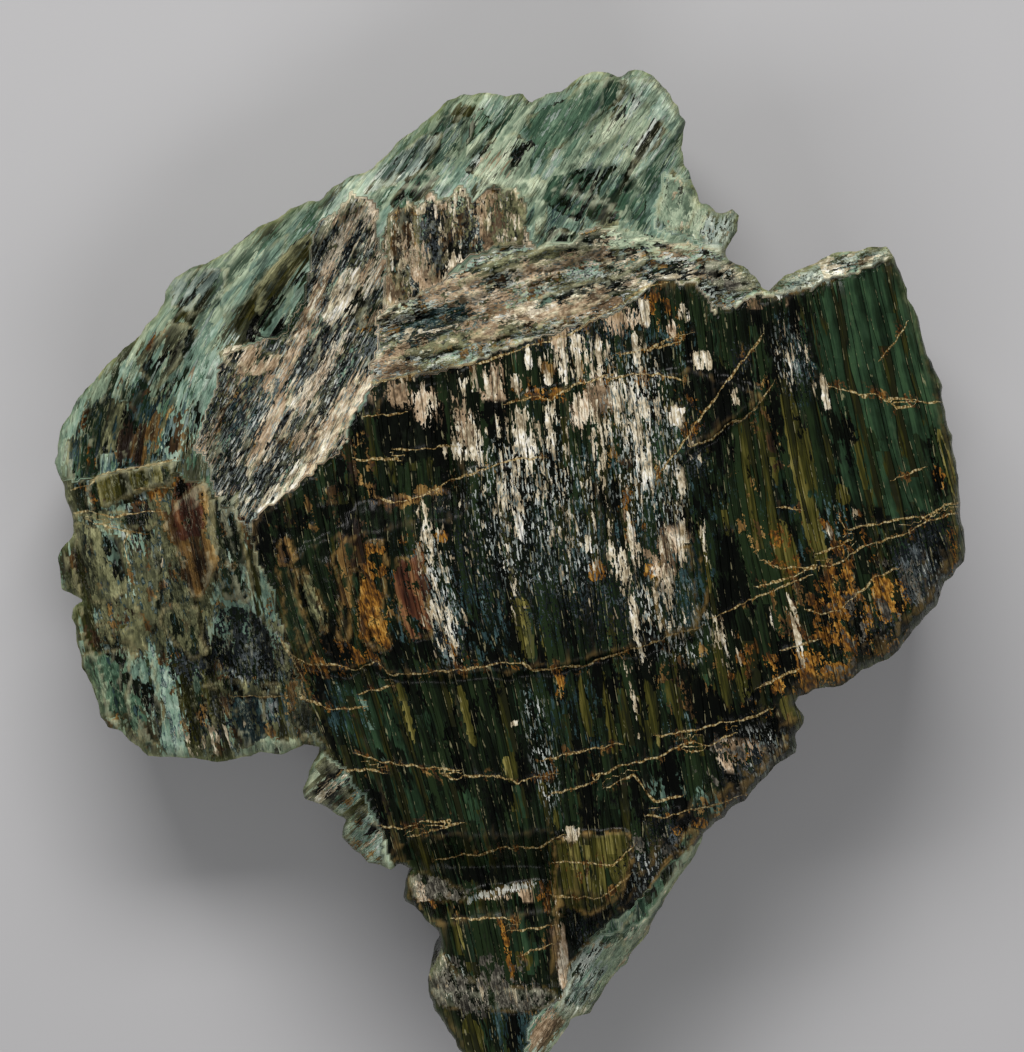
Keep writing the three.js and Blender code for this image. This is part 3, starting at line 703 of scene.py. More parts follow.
# %% Border on the outline, grid evened out behind it
SNAP_SHARE = 0.9  # how much of the way to the outline a border point goes
EVEN_ROUNDS = 12
EVEN_REACH = 4  # squares
border_points = plan[border]
plan[border] += SNAP_SHARE * (snap_to(border_points, outline) - border_points)
near_border = np.zeros_like(used)
for dx in range(-EVEN_REACH, EVEN_REACH + 1):
    for dy in range(-EVEN_REACH, EVEN_REACH + 1):
        near_border |= np.roll(border, (dx, dy), (0, 1))
loose = near_border & used & ~border
for _ in range(EVEN_ROUNDS):
    around = sum(np.roll(plan, shift, axis) for axis in (0, 1) for shift in (1, -1)) / 4
    plan[loose] = around[loose]
print("points moved to the outline:", len(border_points), "evened out:", int(loose.sum()))

# %% [markdown]
# ## Where each mineral shows
#
# The stone is dark green serpentine, and other things lie on it in patches: green fibre in several
# tones, blue-black magnetite, olive and brown weathered fibre, a red-brown lens, rust, a grey crust, a
# tan and a cream one, and bright glints. They could be painted on an image, but an image is as coarse as
# its pixels. Here each is a coat, with a density from 0 to 1 at every point of the mesh, and later the
# material decides, fibre by fibre, which of them it covers. Patches are listed one by one: the middle, half
# the size across the fibres and along them, and the density. A patch ends at the border of its
# province, and one with a negative density wipes the coat away instead.

# %% Densities that hold for a whole province
# the glint coat in these tables is a painted highlight
BACKGROUND = {
    "mantle": {"mid": 1.0, "leaf": 0.4, "moss": 0.15, "frost": 0.12, "pale": 0.34, "slate": 0.12,
               "black": 0.02},
    "left lobe": {"mid": 0.6, "leaf": 0.42, "moss": 0.62, "slate": 0.24, "frost": 0.06, "brown": 0.14,
                  "olive": 0.16, "black": 0.06, "rough": 0.2},
    "streak band": {"mid": 0.2, "moss": 0.4, "slate": 0.15, "frost": 0.25, "pepper": 0.6, "tan": 0.27,
                    "cream": 0.22, "glint": 0.08, "rough": 0.6},
    "rear ledge": {"mid": 0.3, "moss": 0.75, "brown": 0.35, "tan": 0.2, "pepper": 0.4, "slate": 0.25,
                   "cream": 0.22, "frost": 0.3, "black": 0.18, "rough": 0.7},
    "schist": {"mid": 0.5, "moss": 0.7, "slate": 0.34, "frost": 0.48, "tan": 0.2, "cream": 0.25,
               "brown": 0.28, "pepper": 0.22, "glint": 0.1, "rough": 0.7},
    "face": {"deep": 0.24, "slate": 0.03, "olive": 0.12, "black": 0.14, "cream": 0.02},
    "left splinter": {"mid": 1.0, "leaf": 0.4, "moss": 0.35, "frost": 0.3, "olive": 0.3, "brown": 0.15,
                      "black": 0.15},
    "right splinter": {"mid": 1.0, "leaf": 0.45, "frost": 0.35, "slate": 0.4, "pale": 0.2, "cream": 0.1},
    "glassy tab": {"mid": 1.0, "frost": 0.55, "pale": 0.4, "cream": 0.1, "moss": 0.2},
}
print("coats that cover whole provinces:", len({kind for row in BACKGROUND.values() for kind in row}))

# %% Patches of green, slate and black
PATCHES = {
    "mid": [
        (35, -46, 10, 4, .2), (-30, -32, 7, 6, .2), (-76, 27, 14, 12, -.5),
    ],
    "frost": [
        (-60.5, 58, 3, 5, .8), (-20, 47, 6, 3, .7), (10, 84, 20, 12, .35), (-68, 38, 4, 4, .5),
        (40, 58, 8, 3, .5), (-28, 60, 2, 5, .5), (0, 56, 10, 4, .5), (-50.5, 12, 3, 2, .7),
        (-40, 25, 5, 8, .4), (30, 80, 3, 6, .4), (-10, 83, 6, 5, .4), (18, -82, 4, 8, .6),
        (-13, -82, 4, 4, .5), (-30, 72, 6, 3, .4), (-51.5, 11, 2, 3, .8), (-76, 27, 14, 12, -1),
        (-54, 38, 6, 9, -1),
    ],
    "moss": [
        (-60, 45, 8, 8, .45), (-76, 27, 14, 12, .55), (-54, 38, 6, 9, .6),
    ],
    "deep": [
        (74, 42, 13, 19, 1.2), (76, 18, 11, 9, .8), (55, 20, 12, 18, .5), (32, 23, 3.5, 7, 1),
        (-5, -30, 26, 9, .35), (10, -48, 24, 6, .45), (-12, -48, 9, 4, .8), (0, -76, 12, 7, .7),
        (36, -24, 10, 8, .5), (40, 10, 6, 10, .5), (-28, -30, 9, 7, .7), (15, 38, 8, 4, .3),
        (-76, 27, 12, 11, .42),
    ],
    "slate": [
        (57, 41, 4, 7, .55), (22, 77, 2, 4, .5), (14, 73, 1.5, 4, .6), (0, 82, 4, 1.8, .8),
        (-76, 25, 12, 10, .5), (-59, 32, 5, 9, .5), (-52, -30, 3.5, 4, .9), (-46, -29, 3, 3, .8),
        (-50, 33, 7, 11, .7), (12, -30, 8, 8, .3), (40, -30, 10, 6, .2), (20, 10, 20, 20, .3),
        (-10, -10, 16, 9, .4), (2, -92, 6, 6, .7), (60, 8, 8, 8, .2), (26, 44, 10, 5, .4),
        (8, 70, 4, 5, .5), (-35, -28, 5, 6, .4), (-5, 47, 8, 3, .7), (44, 57, 6, 3, .5),
        (-28, 63, 3, 5, .6), (30, 58, 8, 4, .8),
    ],
    "pale": [
        (28, 64, 9, 1.5, .6), (-5, 87, 12, 7, .6), (14, 84, 6, 12, .62), (26, 86, 7, 13, .66),
        (32, 76, 5, 8, .7), (35, 71, 5, 5, .8), (-55, 60, 8, 8, .62), (-40, 68, 8, 5, .6),
        (-66, 48, 6, 6, .6), (-60.5, 58, 3, 4, .8), (-64, 54, 4, 3, .6), (-72, 38, 6, 5, .5),
        (-25, 75, 8, 5, .55), (-78, -33, 5, 3, .6), (-48, -36.5, 6, 1.6, .8), (-66, -34, 12, 4, .16),
        (17, 84, 1.5, 9, .9), (33, 74, 1.3, 6, .9), (40, 68, 6, 4, .9), (-20, 47, 6, 3, .7),
        (0, 57, 9, 4, .6), (30, 64, 11, 2, .7), (5, -98, 4, 4, .4), (-36, -43, 4, 6, .6),
        (20, -80, 4, 8, .6), (-16, 74, 8, 3, .4), (-85, 10, 3, 6, .2), (24, 74, 3, 5, .5),
        (-76, 27, 14, 12, -.9), (-60, 33, 9, 12, -.6),
    ],
    # black: magnetite, and painted shade where it fills the dark recess, the gash and hollows
    "black": [
        (-19, 27, 7, 8, 1), (-8, 39, 5, 2.2, .6), (-12, 60, 5, 5, .85), (10, 92, 2.5, 6, .4),
        (-7.5, 89, 2, 3.5, .3), (34, 58, 7, 3.5, .7), (-47, 50, 3.5, 5, 1), (-31, 52, 2, 2, 1),
        (-57, -14, 5, 5, .3), (-62, -20, 4, 3, .4), (-51, -18, 6, 5, .3), (-66, 14, 10, 3, .2),
        (28, 42, 8, 5, .6), (10, 36, 7, 3, .5), (45, 36, 5, 5, .55), (35, 34, 3, 5, .5),
        (5, 15, 22, 5, .55), (-5, -16, 20, 4, .5), (30, -20, 10, 6, .5), (48, -2, 6, 8, .4),
        (66, 25, 4, 10, .3), (-33, -10, 6, 8, .3), (0, -62, 14, 2, .6), (36, -24, 6, 8, .35),
        (-12, -46, 8, 6, .3), (-57, -8, 4, 6, .3), (-45, -3, 5, 12, .4), (60, -8, 5, 5, .3),
        (85, 22, 2, 12, .3), (2.5, 80, 1.2, 2, .6), (-24, 60, 4, 5, .5), (9, 55, 5, 3, .3),
        (-36, 30, 3, 6, .5), (16, 62, 4, 3, .4), (40, 59, 5, 1.5, .8),
    ],
}
print("coats so far:", len(PATCHES))

# %% Patches of olive, brown and rust
PATCHES |= {
    "olive": [
        (57.5, 18, 1.4, 18, .95), (49, 14, .9, 15, .75), (43, 12, 2.4, 9, .6), (54.5, 3, 2.8, 7, .8),
        (39.5, 0, 1.6, 14, .6), (3.5, -13, 2.2, 8, .95), (8, -16, 1.4, 6, .8), (15, -28, .9, 6, .7),
        (-8.3, -30, 1.1, 7, .85), (-11.5, -27, .8, 2.2, .8), (.5, -40.5, 2.2, 3, .95),
        (1, -49, 1.1, 6, .5), (-16, -58.5, 1.3, 6, .7), (-6.5, -58, .8, 4, .6), (7, -45, 1.1, 3.2, .7),
        (9.5, -50.5, .8, 3, .6), (17, -60, 7.5, 6.5, .78), (-9.5, -74, 1.1, 7, .7), (3, -79, 2.4, 2, .7),
        (42.7, -22, .8, 10, .8), (66.5, 14, 1.4, 2, .9), (70, 20, .7, 8, .6), (87.2, 20, 1.2, 8, .8),
        (22, 19, 3.5, 12, .45), (32, 39, 1.3, 6, .5), (-37.7, -8, 1.3, 7, .6), (-26.3, 2, 2, 5, .6),
        (36, -24, 7, 8, .45), (30, -30, 8, 8, .3), (48, -25, 5, 6, .4), (-20, 24, 9, 9, .35),
        (2, 59, 1.8, 1.5, .8), (9, 58, 1.8, 1.5, .8), (-60, 50, 3, 1.6, .6), (-45, 57, 1.6, 9, .7),
        (-51, 52, 1.2, 4, .7), (-71, 17.5, 4, 2.2, .7), (-80, 16.5, 4.5, 2.7, .7),
        (-79, -13.5, 3.7, 1.6, .6), (-54.5, -6, 3, 3, .6), (-67, -12, 4, 2, .5), (-7, -94, 2.5, 4, .8),
        (57, -29, 2.7, 3.2, .9), (18.5, 87.5, 2, 4, .7), (-9, 91, 3, 2, .5), (-35, -44, 3, 2, .5),
        (-26, -55, 4, 3, .6), (-86, -5, 2, 5, .5), (-62, 52, 4, 4, .3), (-75, 44, 4, 3, .35),
        (44, 70, 2, 3, .6), (24, -66, 3, 5, .4), (28, 84, 1, 9, .5), (-10, -40, 4, 8, .2),
        (48, 8, 12, 26, .34), (58, 25, 3, 12, .5), (46, 22, 1.1, 12, .8), (52, 24, .8, 9, .9),
        (62, 5, 1, 9, .8), (33, -8, 1, 7, .8), (29, -30, 1, 8, .8), (38, -33, 1.3, 6, .7),
        (20, -30, .8, 9, .8), (-20, -30, .9, 7, .8),
    ],
    "brown": [
        (-72, 26, 8, 6, .6), (-60, -2, 3, 6, .3), (-54, 9, 3.5, 4, .7), (-50, 3, 2.5, 6, .6),
        (36, -24, 5, 7, .45), (22, 19, 3, 10, .3), (-33, 8, 4, 4, .6), (-30, 20, 3, 5, .5),
        (-29, -2, 5, 9, .6), (-15, 68, 9, 6, .6), (1, 67, 3, 6, .4), (-17, -65, 2.5, 2.5, .7),
        (-68, 15, 12, 2, .5), (67, -4, 4, 5, .7), (70, -13, 8, 6, .5), (10, 38, 5, 3, .4),
        (30, 50, 5, 3, .5), (52, 28, 3, 8, .3), (57, -10, 4, 8, .4), (-48, 24, 6, 4, .5),
        (-58, 33, 4, 5, .4), (6, -88, 4, 3, .4), (-40, 12, 8, 4, .4), (48, 8, 3, 8, .3),
        (-76, 33, 5, 4, .3), (40, -50, 5, 3, .4), (-23, 12.7, 4, 1.2, .8), (-15, 14.6, 4, 1.2, .8),
    ],
    "ochre": [
        (10.3, -24, 1.2, 3.5, .9), (0, -77, .9, 7, .75), (-27, -9, 2.4, 6.5, .95),
        (-17.5, -9, 1.7, 5, .6), (-10.5, -16.5, 1.8, 3, .7), (-13.3, 5.5, 1.3, 1.3, 1),
        (17.3, -1.3, 1.9, 2, 1), (28.5, -1.2, 1.7, 1.7, 1), (38.5, -51.5, 1.6, 1.2, .9),
        (33.5, -53, 1.6, 1.2, .8), (76, -6, 4, 4, .85), (70, -13, 10, 6, .7), (62, -20, 7, 5, .7),
        (57, -22, 6, 4.5, .8), (66, -8, 4, 5, .7), (80, -2, 5, 4, .2), (85.8, 17, 1, 2.5, .8),
        (-86, 21, 3.2, 4.5, .2), (-86, 28, 2, 3, .2), (-71, 45, 2, 2, .6), (-30, 48, 3, 2, .6),
        (-25, -14, 3, 4, .6), (-31, -17, 6, 3, .5), (-36, -20, 5, 2, .5), (-5, -20.5, 8, 1, .5),
        (48, -37, 5, 5, .45), (50, -30, 4, 4, .5), (66, 6, 6, 5, .35), (55, 3, 2.5, 5, .5),
        (22, 36, 8, 2, .5), (8, 34, 6, 1.5, .6), (36, 30, 3, 4, .4), (30, 51, 6, 3, .5),
        (-66, 16, 9, 2, .45), (-80, 15, 5, 3, .4), (-15, -67, 4, 2, .5), (8, -66, 4, 3, .3),
        (67, -3, 3, 4, .6), (87, 2, 3, 5, .4), (-20, 2, 4, 5, .35), (-52, 8, 4, 3, .35),
        (46, -18, 3, 5, .3), (24, 10, 3, 6, .3), (14, -60, 6, 5, .25),
    ],
}
print("coats so far:", len(PATCHES))

# %% Patches of crust: tan, pepper and cream
PATCHES |= {
    "tan": [
        (27.5, 1, 2.7, 2.7, .8), (24.6, 6, 1.2, 6, .7), (-33, -4, 2, 8, .5), (-15, 32, 3, 5, .35),
        (15.5, 40, 1, 4, .7), (32.5, 47, .9, 2.2, .8), (61, 37, 1.2, 3, .6), (-36, 44, 2, 4, .7),
        (-47, 36, 2.2, 2, .7), (-46, 30.5, 2, 3, .8), (-53.5, 42, 4, 1.5, .8), (17, 57, 4, 3, .7),
        (-8, 66, 10, 6, .4), (-38, 25, 4, 9, .36), (-30, 36, 3, 8, .4), (-42, 17, 5, 4, .4),
        (-26, 56, 2, 4, .5), (10, -74, 1.4, 9, .4), (-17, -65, 2, 2, .8), (7.5, -93, 2, 4, .3),
        (20, 35, 3, 4, .4), (14, 31, 3, 4, .5), (0, 45, 14, 1.5, .5), (30, 60, 6, 2, .3),
        (-2, 68, 1, 6, .6), (-50, 12, 5, 2, .5), (33, 0, 4, 6, .28), (50, 52, 5, 1, .4),
        (46, -38, 4, 3, .15), (-16, 34, 9, 2.5, .25), (-4, 37, 9, 3.5, .3), (8, 41, 10, 4, .25),
        (-12, 28, 5, 6, .12), (20, 47, 9, 4, .25), (-33, 46, 4, 5, .4), (0, -66, 14, 1, .3),
    ],
    "pepper": [
        (83, -2, 6, 7, .9), (85, 4, 4, 5, .7), (53, -37, 5, 6, .8), (47, -43, 4, 4, .7),
        (34, -54, 6, 5, .65), (27, -63, 5, 6, .7), (17, -72, 6, 4, .6), (-51, -17, 7, 6, .6),
        (-63, -20, 4, 3, .6), (-12.5, -12, 3.5, 7, .6), (33, 4, 3.5, 6, .6), (37, 22, 2, 4, .6),
        (46.5, 39, 2, 4, .5), (57, 41, 3.5, 7, .5), (5, 2, 20, 12, .35), (20, -8, 14, 7, .4),
        (8, 45, 14, 3, .4), (30, 26, 8, 8, .3), (76, -14, 6, 4, .5), (-55, -31, 8, 4, .35),
        (12, -88, 5, 4, .3), (14, 62, 10, 3, .4),
    ],
    "cream": [
        (-6.5, 24, 3, 6, .7), (-10, 24, 1.5, 4, .6), (3.5, 25, 2.4, 7, .72), (8.5, 27, 1.5, 6, .7),
        (1.8, 12, 1, 9, .76), (-15.8, 4, 1, 10, .75), (-14, -2, 1.2, 5, .5), (-12.5, -12, 3.4, 7, .6),
        (14, 31, 2, 4, .5), (22, 33, 3, 6, .68), (25.5, 27, 1.2, 12, .75), (27.5, 18, 1.8, 3.5, .8),
        (16, 4, .8, 2.3, .9), (24.6, 6, 1, 6, .6), (33, 4, 3.2, 6, .5), (34.5, 17, .9, 3.4, .8),
        (38.7, 5, .8, 4.5, .7), (22, -1, 2.2, 6, .55), (31, -8, 8, 6, .5), (25.5, -13, 1.2, 7, .6),
        (24.5, -25, .7, 9, .5), (-15, 32, 2, 4, .4), (-9, 35.5, .9, 2, .7), (-4, 35.5, .9, 3, .9),
        (4, 41, 1, 3, .9), (8, 37, .9, 1.5, .8), (10.8, 41, 1, 5.5, .9), (13.6, 41.5, 1.2, 5, .95),
        (18, 41, 1.7, 4, .75), (27, 50, 1.4, 3, .8), (25.3, 43, .9, 3.4, .8), (35, 50, 1.2, 2.2, .8),
        (32.5, 47, .8, 2.2, .4), (38.8, 40.5, 2.2, 2.2, .95), (45, 33, 1, 2.2, .8), (37, 22, 1.6, 4, .4),
        (57, 41, 3.4, 7, .3), (63, 34, .8, 3.4, .8), (69, 11, .5, 1.6, .7), (64, 7, .6, 1.4, .7),
        (57, -13, .9, 7, .7), (52.5, -11, .7, 2.4, .7), (44, -16, 1.6, 4, .45), (12.5, -53.5, 2, 1.6, 1),
        (1.5, -31.5, .7, .8, 1), (-33.5, 54, 2.2, 7, .9), (-27, 56, 1.8, 4, .6), (-40, 27, 3, 8, .4),
        (-33, 33, 2, 8, .5), (64, 58.5, 12, 2.5, .6), (-47, 12.5, 2, 4, .9), (-42, 18, 1.6, 4, .85),
        (-37, 24, 1.4, 5, .8), (-32, 32, 1.2, 7, .7), (-43, 32.5, 1.4, 1.4, .8), (-52, 20, 4, 3, .5),
        (-17.5, 71, 1.2, 1.2, 1), (-10, 74.5, 7, 1.2, .5), (-2.5, 49, 1.5, 1.5, .7), (10, 47, 12, 1, .4),
        (-3, 80, 5, 3, .3), (10.5, -74, 1, 8, .5), (-13, -82, 3, 4, .3), (0, -85, 8, 3, .3),
        (-60, -34, 8, 4, .2), (3, 4, 22, 15, .13), (20, 26, 16, 9, .2), (-65, 38, 4, 2, .3),
        (-36, -45, 1.2, 7, .5), (-27, -55, 1.2, 6, .5), (-68, 2, 2, 8, .2), (3, 17, 8, 13, .36),
        (17, 26, 8, 11, .34), (27, 24, 5, 16, .42), (31, -4, 8, 13, .4), (-14, -2, 4, 12, .38),
        (-8, 26, 5, 6, .5), (14, 41, 10, 4, .4), (-4, 36, 16, 3, .34), (14, 4, 16, 9, .18),
        (-6, 6, 8, 10, .2),
    ],
}
PATCHES |= {
    "lens": [(-63.5, 10.5, 3.5, 5.5, 2.6)],
    "leaf": [
        (-76, 27, 14, 12, .7), (-60, 33, 9, 12, .62), (30, 88, 3, 6, .6), (-30, 74, 5, 4, .5),
        (-56, 55, 4, 8, .5), (-80, -24, 5, 8, .8),
    ],
    "crust": [
        (74, -12, 8, 5, .35), (66, -20, 6, 3, .3), (48, -40, 8, 5, .3), (-6, -84, 12, 5, .5),
        (80, -4, 5, 5, .2), (30, -57, 8, 4, .3),
    ],
    # glint: painted highlights, specks of light on loose fibre ends
    "glint": [
        (7, -38, 3, 12, .12), (33, -10, 6, 8, .2), (-14, -5, 3, 10, .2), (5, 10, 12, 14, .15),
        (27, 24, 7, 16, .2), (83, -2, 5, 6, .07), (52, -38, 6, 6, .08), (28, -61, 6, 6, .08),
        (-52, -16, 8, 8, .08), (56, 41, 4, 7, .08), (15, -80, 6, 8, .1), (-50, -30, 12, 8, .05),
    ],
}
print("patches in all:", sum(len(rows) for rows in PATCHES.values()))


# %% Rough places of the face
PATCHES["rough"] = [
    (83, -2, 8, 9, 1), (72, -14, 12, 8, .9), (53, -36, 6, 8, 1), (45, -45, 6, 5, .9), (34, -54, 7, 6, .9),
    (27, -63, 6, 7, 1), (17, -73, 8, 6, .9), (57, 41, 4, 8, .9), (-12.5, -12, 4, 8, .6),
    (22, 30, 14, 9, .35), (5, 5, 26, 16, .3), (30, 0, 8, 16, .5), (0, -86, 10, 3, .9),
    (-17, -66, 4, 3, 1), (10, -74, 2.5, 9, .7), (-40, -5, 10, 16, .6), (-30, -12, 8, 10, .5),
    (28, 50, 10, 7, .5), (-52, -16, 9, 8, .7), (-60, -33, 14, 6, .6), (66, 59, 12, 4, .8),
    (-20, 5, 8, 10, .3), (12, -54, 3, 2, .7), (38, -14, 6, 4, .3),
]


# %% Turn patches into densities
SOLID_REACH, SOFT_REACH = (0.7, 1.2), (0.3, 1.6)  # where a patch starts to fade and where it ends
SOLID_FROM = 0.7  # a denser patch is a solid one


def density_of(kind, x, y, province):
    """The background of the province, raised to each patch that holds the place. A patch is a rounded
    box in the fibre coordinates of the province that its middle lies in, and it ends at the border."""
    density = np.array([BACKGROUND[name].get(kind, 0.0) for name in names])[province]
    for patch_x, patch_y, half_across, half_along, strength in PATCHES[kind]:
        middle = np.array([float(patch_x)]), np.array([float(patch_y)])
        home = province_of(*middle)
        middle_across, middle_along = fibre_coordinates(*middle, home)
        near = np.hypot(x - patch_x, y - patch_y) < 2 * (half_across + half_along) + 12
        place_across, place_along = fibre_coordinates(x[near], y[near], np.full(near.sum(), home[0]))
        reach = ((np.abs(place_across - middle_across) / half_across) ** 3
                 + (np.abs(place_along - middle_along) / half_along) ** 3) ** (1 / 3)
        fade = SOLID_REACH if strength > SOLID_FROM else SOFT_REACH
        held = strength * (1 - smooth_step(reach, *fade)) * (province[near] == home[0])
        if strength > 0:
            density[near] = np.maximum(density[near], held)
        else:
            density[near] *= 1 + held
    return density


# %% Evening out a grid
def blurred(grid, mask, rounds):
    """Mean over the neighbours inside the mask, taken again and again."""
    weight = mask.astype(float)
    for _ in range(rounds):
        total = sum(np.roll(grid * weight, shift, axis) for axis in (0, 1) for shift in (-1, 0, 1))
        count = sum(np.roll(weight, shift, axis) for axis in (0, 1) for shift in (-1, 0, 1))
        grid = total / np.maximum(count, 1e-9)
    return grid


# %% Height and paint coordinates of every face point
fx, fy = plan[used].T
rimwards = np.maximum(0, line_distance(fx, fy, outline, True)[1])
province = province_of(fx, fy)
across, along = fibre_coordinates(fx, fy, province)
rough = density_of("rough", fx, fy, province)
fz = face_height(fx, fy, rimwards, across, along, province, rough)
face_grid = np.zeros(used.shape)
face_grid[used] = fz
fz = (fz + blurred(face_grid, used, 1)[used]) / 2  # a step across the grid would come out as a saw
print("face points:", len(fx), "height from", round(fz.min(), 1), "to", round(fz.max(), 1))

# %% [markdown]
# The underside is zero on the flat spot that the rock rests on. Outside it rises with the share of the
# way from the spot to the rim, and lumps stand on that. The rim shows the fibres from the side: flat
# blades that stand out a little, as on the face. A plain wall would do for a rock that is only seen from
# above, but this one is turned in the hand.

# %% Underside and rim rows
SPOT_X, SPOT_Y, SPOT_HALF_X, SPOT_HALF_Y = 1.5, 3.0, 31.0, 25.0
SPOT_EASE = 1.15  # over 1, so that the underside leaves the spot gently
UNDERCUT = 4.5
RIM_ROWS = 15
UNDERSIDE_LUMPS = 2.2
RIM_RADIUS = 80  # turns a bearing from the middle into a length along the rim
WALL_BLADE = (6, 16, 331)  # width, length and seed of the blades on the rim
WALL_LUMPS, WALL_BLADES = 0.9, 1.8  # how far each stands out
LUMP_LENGTH, LUMP_DEPTH, LUMP_SHIFT = 3, 4, 9  # size of the lumps, and their shift from top to foot


def underside_height(x, y, rimwards):
    """Zero on an oval spot; outside it a power of the share of the way to the rim, times the rim's lower
    edge, plus lumps that are highest halfway."""
    ring = np.hypot((x - SPOT_X) / SPOT_HALF_X, (y - SPOT_Y) / SPOT_HALF_Y)
    from_spot = np.maximum(0, ring - 1) * 0.5 * (SPOT_HALF_X + SPOT_HALF_Y)
    share = from_spot / (from_spot + np.maximum(rimwards, 0) + 1e-6)
    bulge = 4 * share * (1 - share)
    lumps = 0.6 + 0.4 * fractal(x / 14, y / 14, seed=101) + 0.3 * noise(x / 2.2, y / 7, seed=103)
    return np.where(ring <= 1, 0.0, rim_at(x, y)[2] * share**SPOT_EASE + bulge * UNDERSIDE_LUMPS * lumps)


face_index = np.full(used.shape, -1)
face_index[used] = np.arange(used.sum())
coarse_use = corners_used(kept)
coarse_used, coarse_border = coarse_use > 0, (coarse_use > 0) & (coarse_use < 4)
under_face = face_index[::2, ::2][coarse_used]  # face point above each underside point
ux, uy = fx[under_face], fy[under_face]
inwards = -np.stack([ux, uy]) / np.maximum(np.hypot(ux, uy), 1e-6)
on_border = coarse_border[coarse_used]
rim_gap = np.where(on_border, 0, rimwards[under_face])
pull = np.where(on_border, UNDERCUT, UNDERCUT * np.exp(-rim_gap / (2 * UNDERCUT)))
ux, uy = ux + inwards[0] * pull, uy + inwards[1] * pull
uz = np.where(on_border, rim_at(ux, uy)[2], underside_height(ux, uy, rim_gap))

rim_face = under_face[on_border]  # face point at the top of each rim column
rim_foot = np.flatnonzero(on_border)
shares = np.arange(1, RIM_ROWS)[:, None] / RIM_ROWS
round_about = RIM_RADIUS * np.arctan2(fy[rim_face], fx[rim_face])
lumps = fractal(fx[rim_face] / LUMP_LENGTH + LUMP_SHIFT * shares, fy[rim_face] / LUMP_LENGTH,
                fz[rim_face] / LUMP_DEPTH * shares, seed=7)
blades = shingles(round_about, fz[rim_face] * shares, *WALL_BLADE)[0] - MEAN_BLADE
rough_wall = WALL_LUMPS * lumps + WALL_BLADES * blades
draw_in = UNDERCUT * shares**2 + rough_wall * np.sin(math.pi * shares)
rx = fx[rim_face] + inwards[0][rim_foot] * draw_in
ry = fy[rim_face] + inwards[1][rim_foot] * draw_in
rz = fz[rim_face] + (uz[rim_foot] - fz[rim_face]) * shares
print("underside points:", len(ux), "rim points:", rx.size)

# %% [markdown]
# The faces of the mesh: squares of the face and of the underside, the rows of the rim, and under the
# face a strip of triangles, because there two fine squares meet one coarse one. A solidify modifier
# could close the face with a wall, but not with a broken one.


# %% Join the squares
def squares_of(cells, index):
    """Corner numbers of each kept square, anticlockwise seen from above."""
    ix, iy = np.nonzero(cells)
    return np.column_stack([index[ix, iy], index[ix + 1, iy], index[ix + 1, iy + 1], index[ix, iy + 1]])


def border_sides(cells):
    """Grid corners of the sides that only one kept square has, in that square's own direction."""
    padded = np.pad(cells, 1)
    sides = []
    for (dx, dy), (start, end) in {(0, -1): ((0, 0), (1, 0)), (1, 0): ((1, 0), (1, 1)),
                                   (0, 1): ((1, 1), (0, 1)), (-1, 0): ((0, 1), (0, 0))}.items():
        beside = padded[1 + dx:padded.shape[0] - 1 + dx, 1 + dy:padded.shape[1] - 1 + dy]
        ix, iy = np.nonzero(cells & ~beside)
        sides.append(np.column_stack([ix + start[0], iy + start[1], ix + end[0], iy + end[1]]))
    return np.vstack(sides)


face_count, under_count, rim_columns = len(fx), len(ux), len(rim_face)
under_index = np.full(coarse_used.shape, -1)
under_index[coarse_used] = face_count + np.arange(under_count)
column_of = np.full(coarse_used.shape, -1)
column_of[coarse_border] = np.arange(rim_columns)


def rim_point(column, row):
    """Number of a rim point below the face's edge; the last row is the edge of the underside."""
    if row == RIM_ROWS:
        return face_count + rim_foot[column]
    return face_count + under_count + (row - 1) * rim_columns + column


sides = border_sides(kept)
start_column, end_column = column_of[sides[:, 0], sides[:, 1]], column_of[sides[:, 2], sides[:, 3]]
top_start = face_index[2 * sides[:, 0], 2 * sides[:, 1]]
top_end = face_index[2 * sides[:, 2], 2 * sides[:, 3]]
top_middle = face_index[sides[:, 0] + sides[:, 2], sides[:, 1] + sides[:, 3]]
first_start, first_end = rim_point(start_column, 1), rim_point(end_column, 1)
quads = [squares_of(fine, face_index), squares_of(kept, under_index)[:, ::-1]]
for row in range(1, RIM_ROWS):
    quads.append(np.column_stack([rim_point(start_column, row), rim_point(start_column, row + 1),
                                  rim_point(end_column, row + 1), rim_point(end_column, row)]))
triangles = np.vstack([np.column_stack([top_start, first_start, top_middle]),
                       np.column_stack([first_start, first_end, top_middle]),
                       np.column_stack([top_middle, first_end, top_end])])
quads = np.vstack(quads)
print("triangles in the rock:", 2 * len(quads) + len(triangles))

# %% All points together
FACET_CLEARS = 0.65  # how much of the other coats a facet takes away
FACET_COVERS = 0.85  # density of its own mineral, times the number in its row
FACET_SOFT = 0.3  # half the width over which its coat fades
HIGHLIGHT_PLACE, HIGHLIGHT_WIDTH = 0.1, 0.3  # where a raised facet's painted highlight lies inside its edge, and how wide
points = np.column_stack([np.concatenate([fx, ux, rx.ravel()]), np.concatenate([fy, uy, ry.ravel()]),
                          np.concatenate([fz, uz, rz.ravel()])])

px, py = points[:, 0], points[:, 1]
point_province = province_of(px, py)
coats = {kind: density_of(kind, px, py, point_province) for kind in PATCHES}
# painted highlight just inside the edge of every raised facet; a sunk one gets none
facet_highlight = np.zeros(len(points))
for (rise, _, mineral, strength, _), inside in facet_gaps(px, py):
    held = smooth_step(inside, -FACET_SOFT, FACET_SOFT)
    for kind in set(coats) - {"rough", "cream", mineral}:
        coats[kind] *= 1 - FACET_CLEARS * held
    coats[mineral] = np.maximum(coats[mineral], FACET_COVERS * strength * held)
    own_highlight = np.exp(-((inside - HIGHLIGHT_PLACE) / HIGHLIGHT_WIDTH) ** 2) * np.clip(rise, 0, 1)
    facet_highlight = np.maximum(facet_highlight * (1 - held), own_highlight)
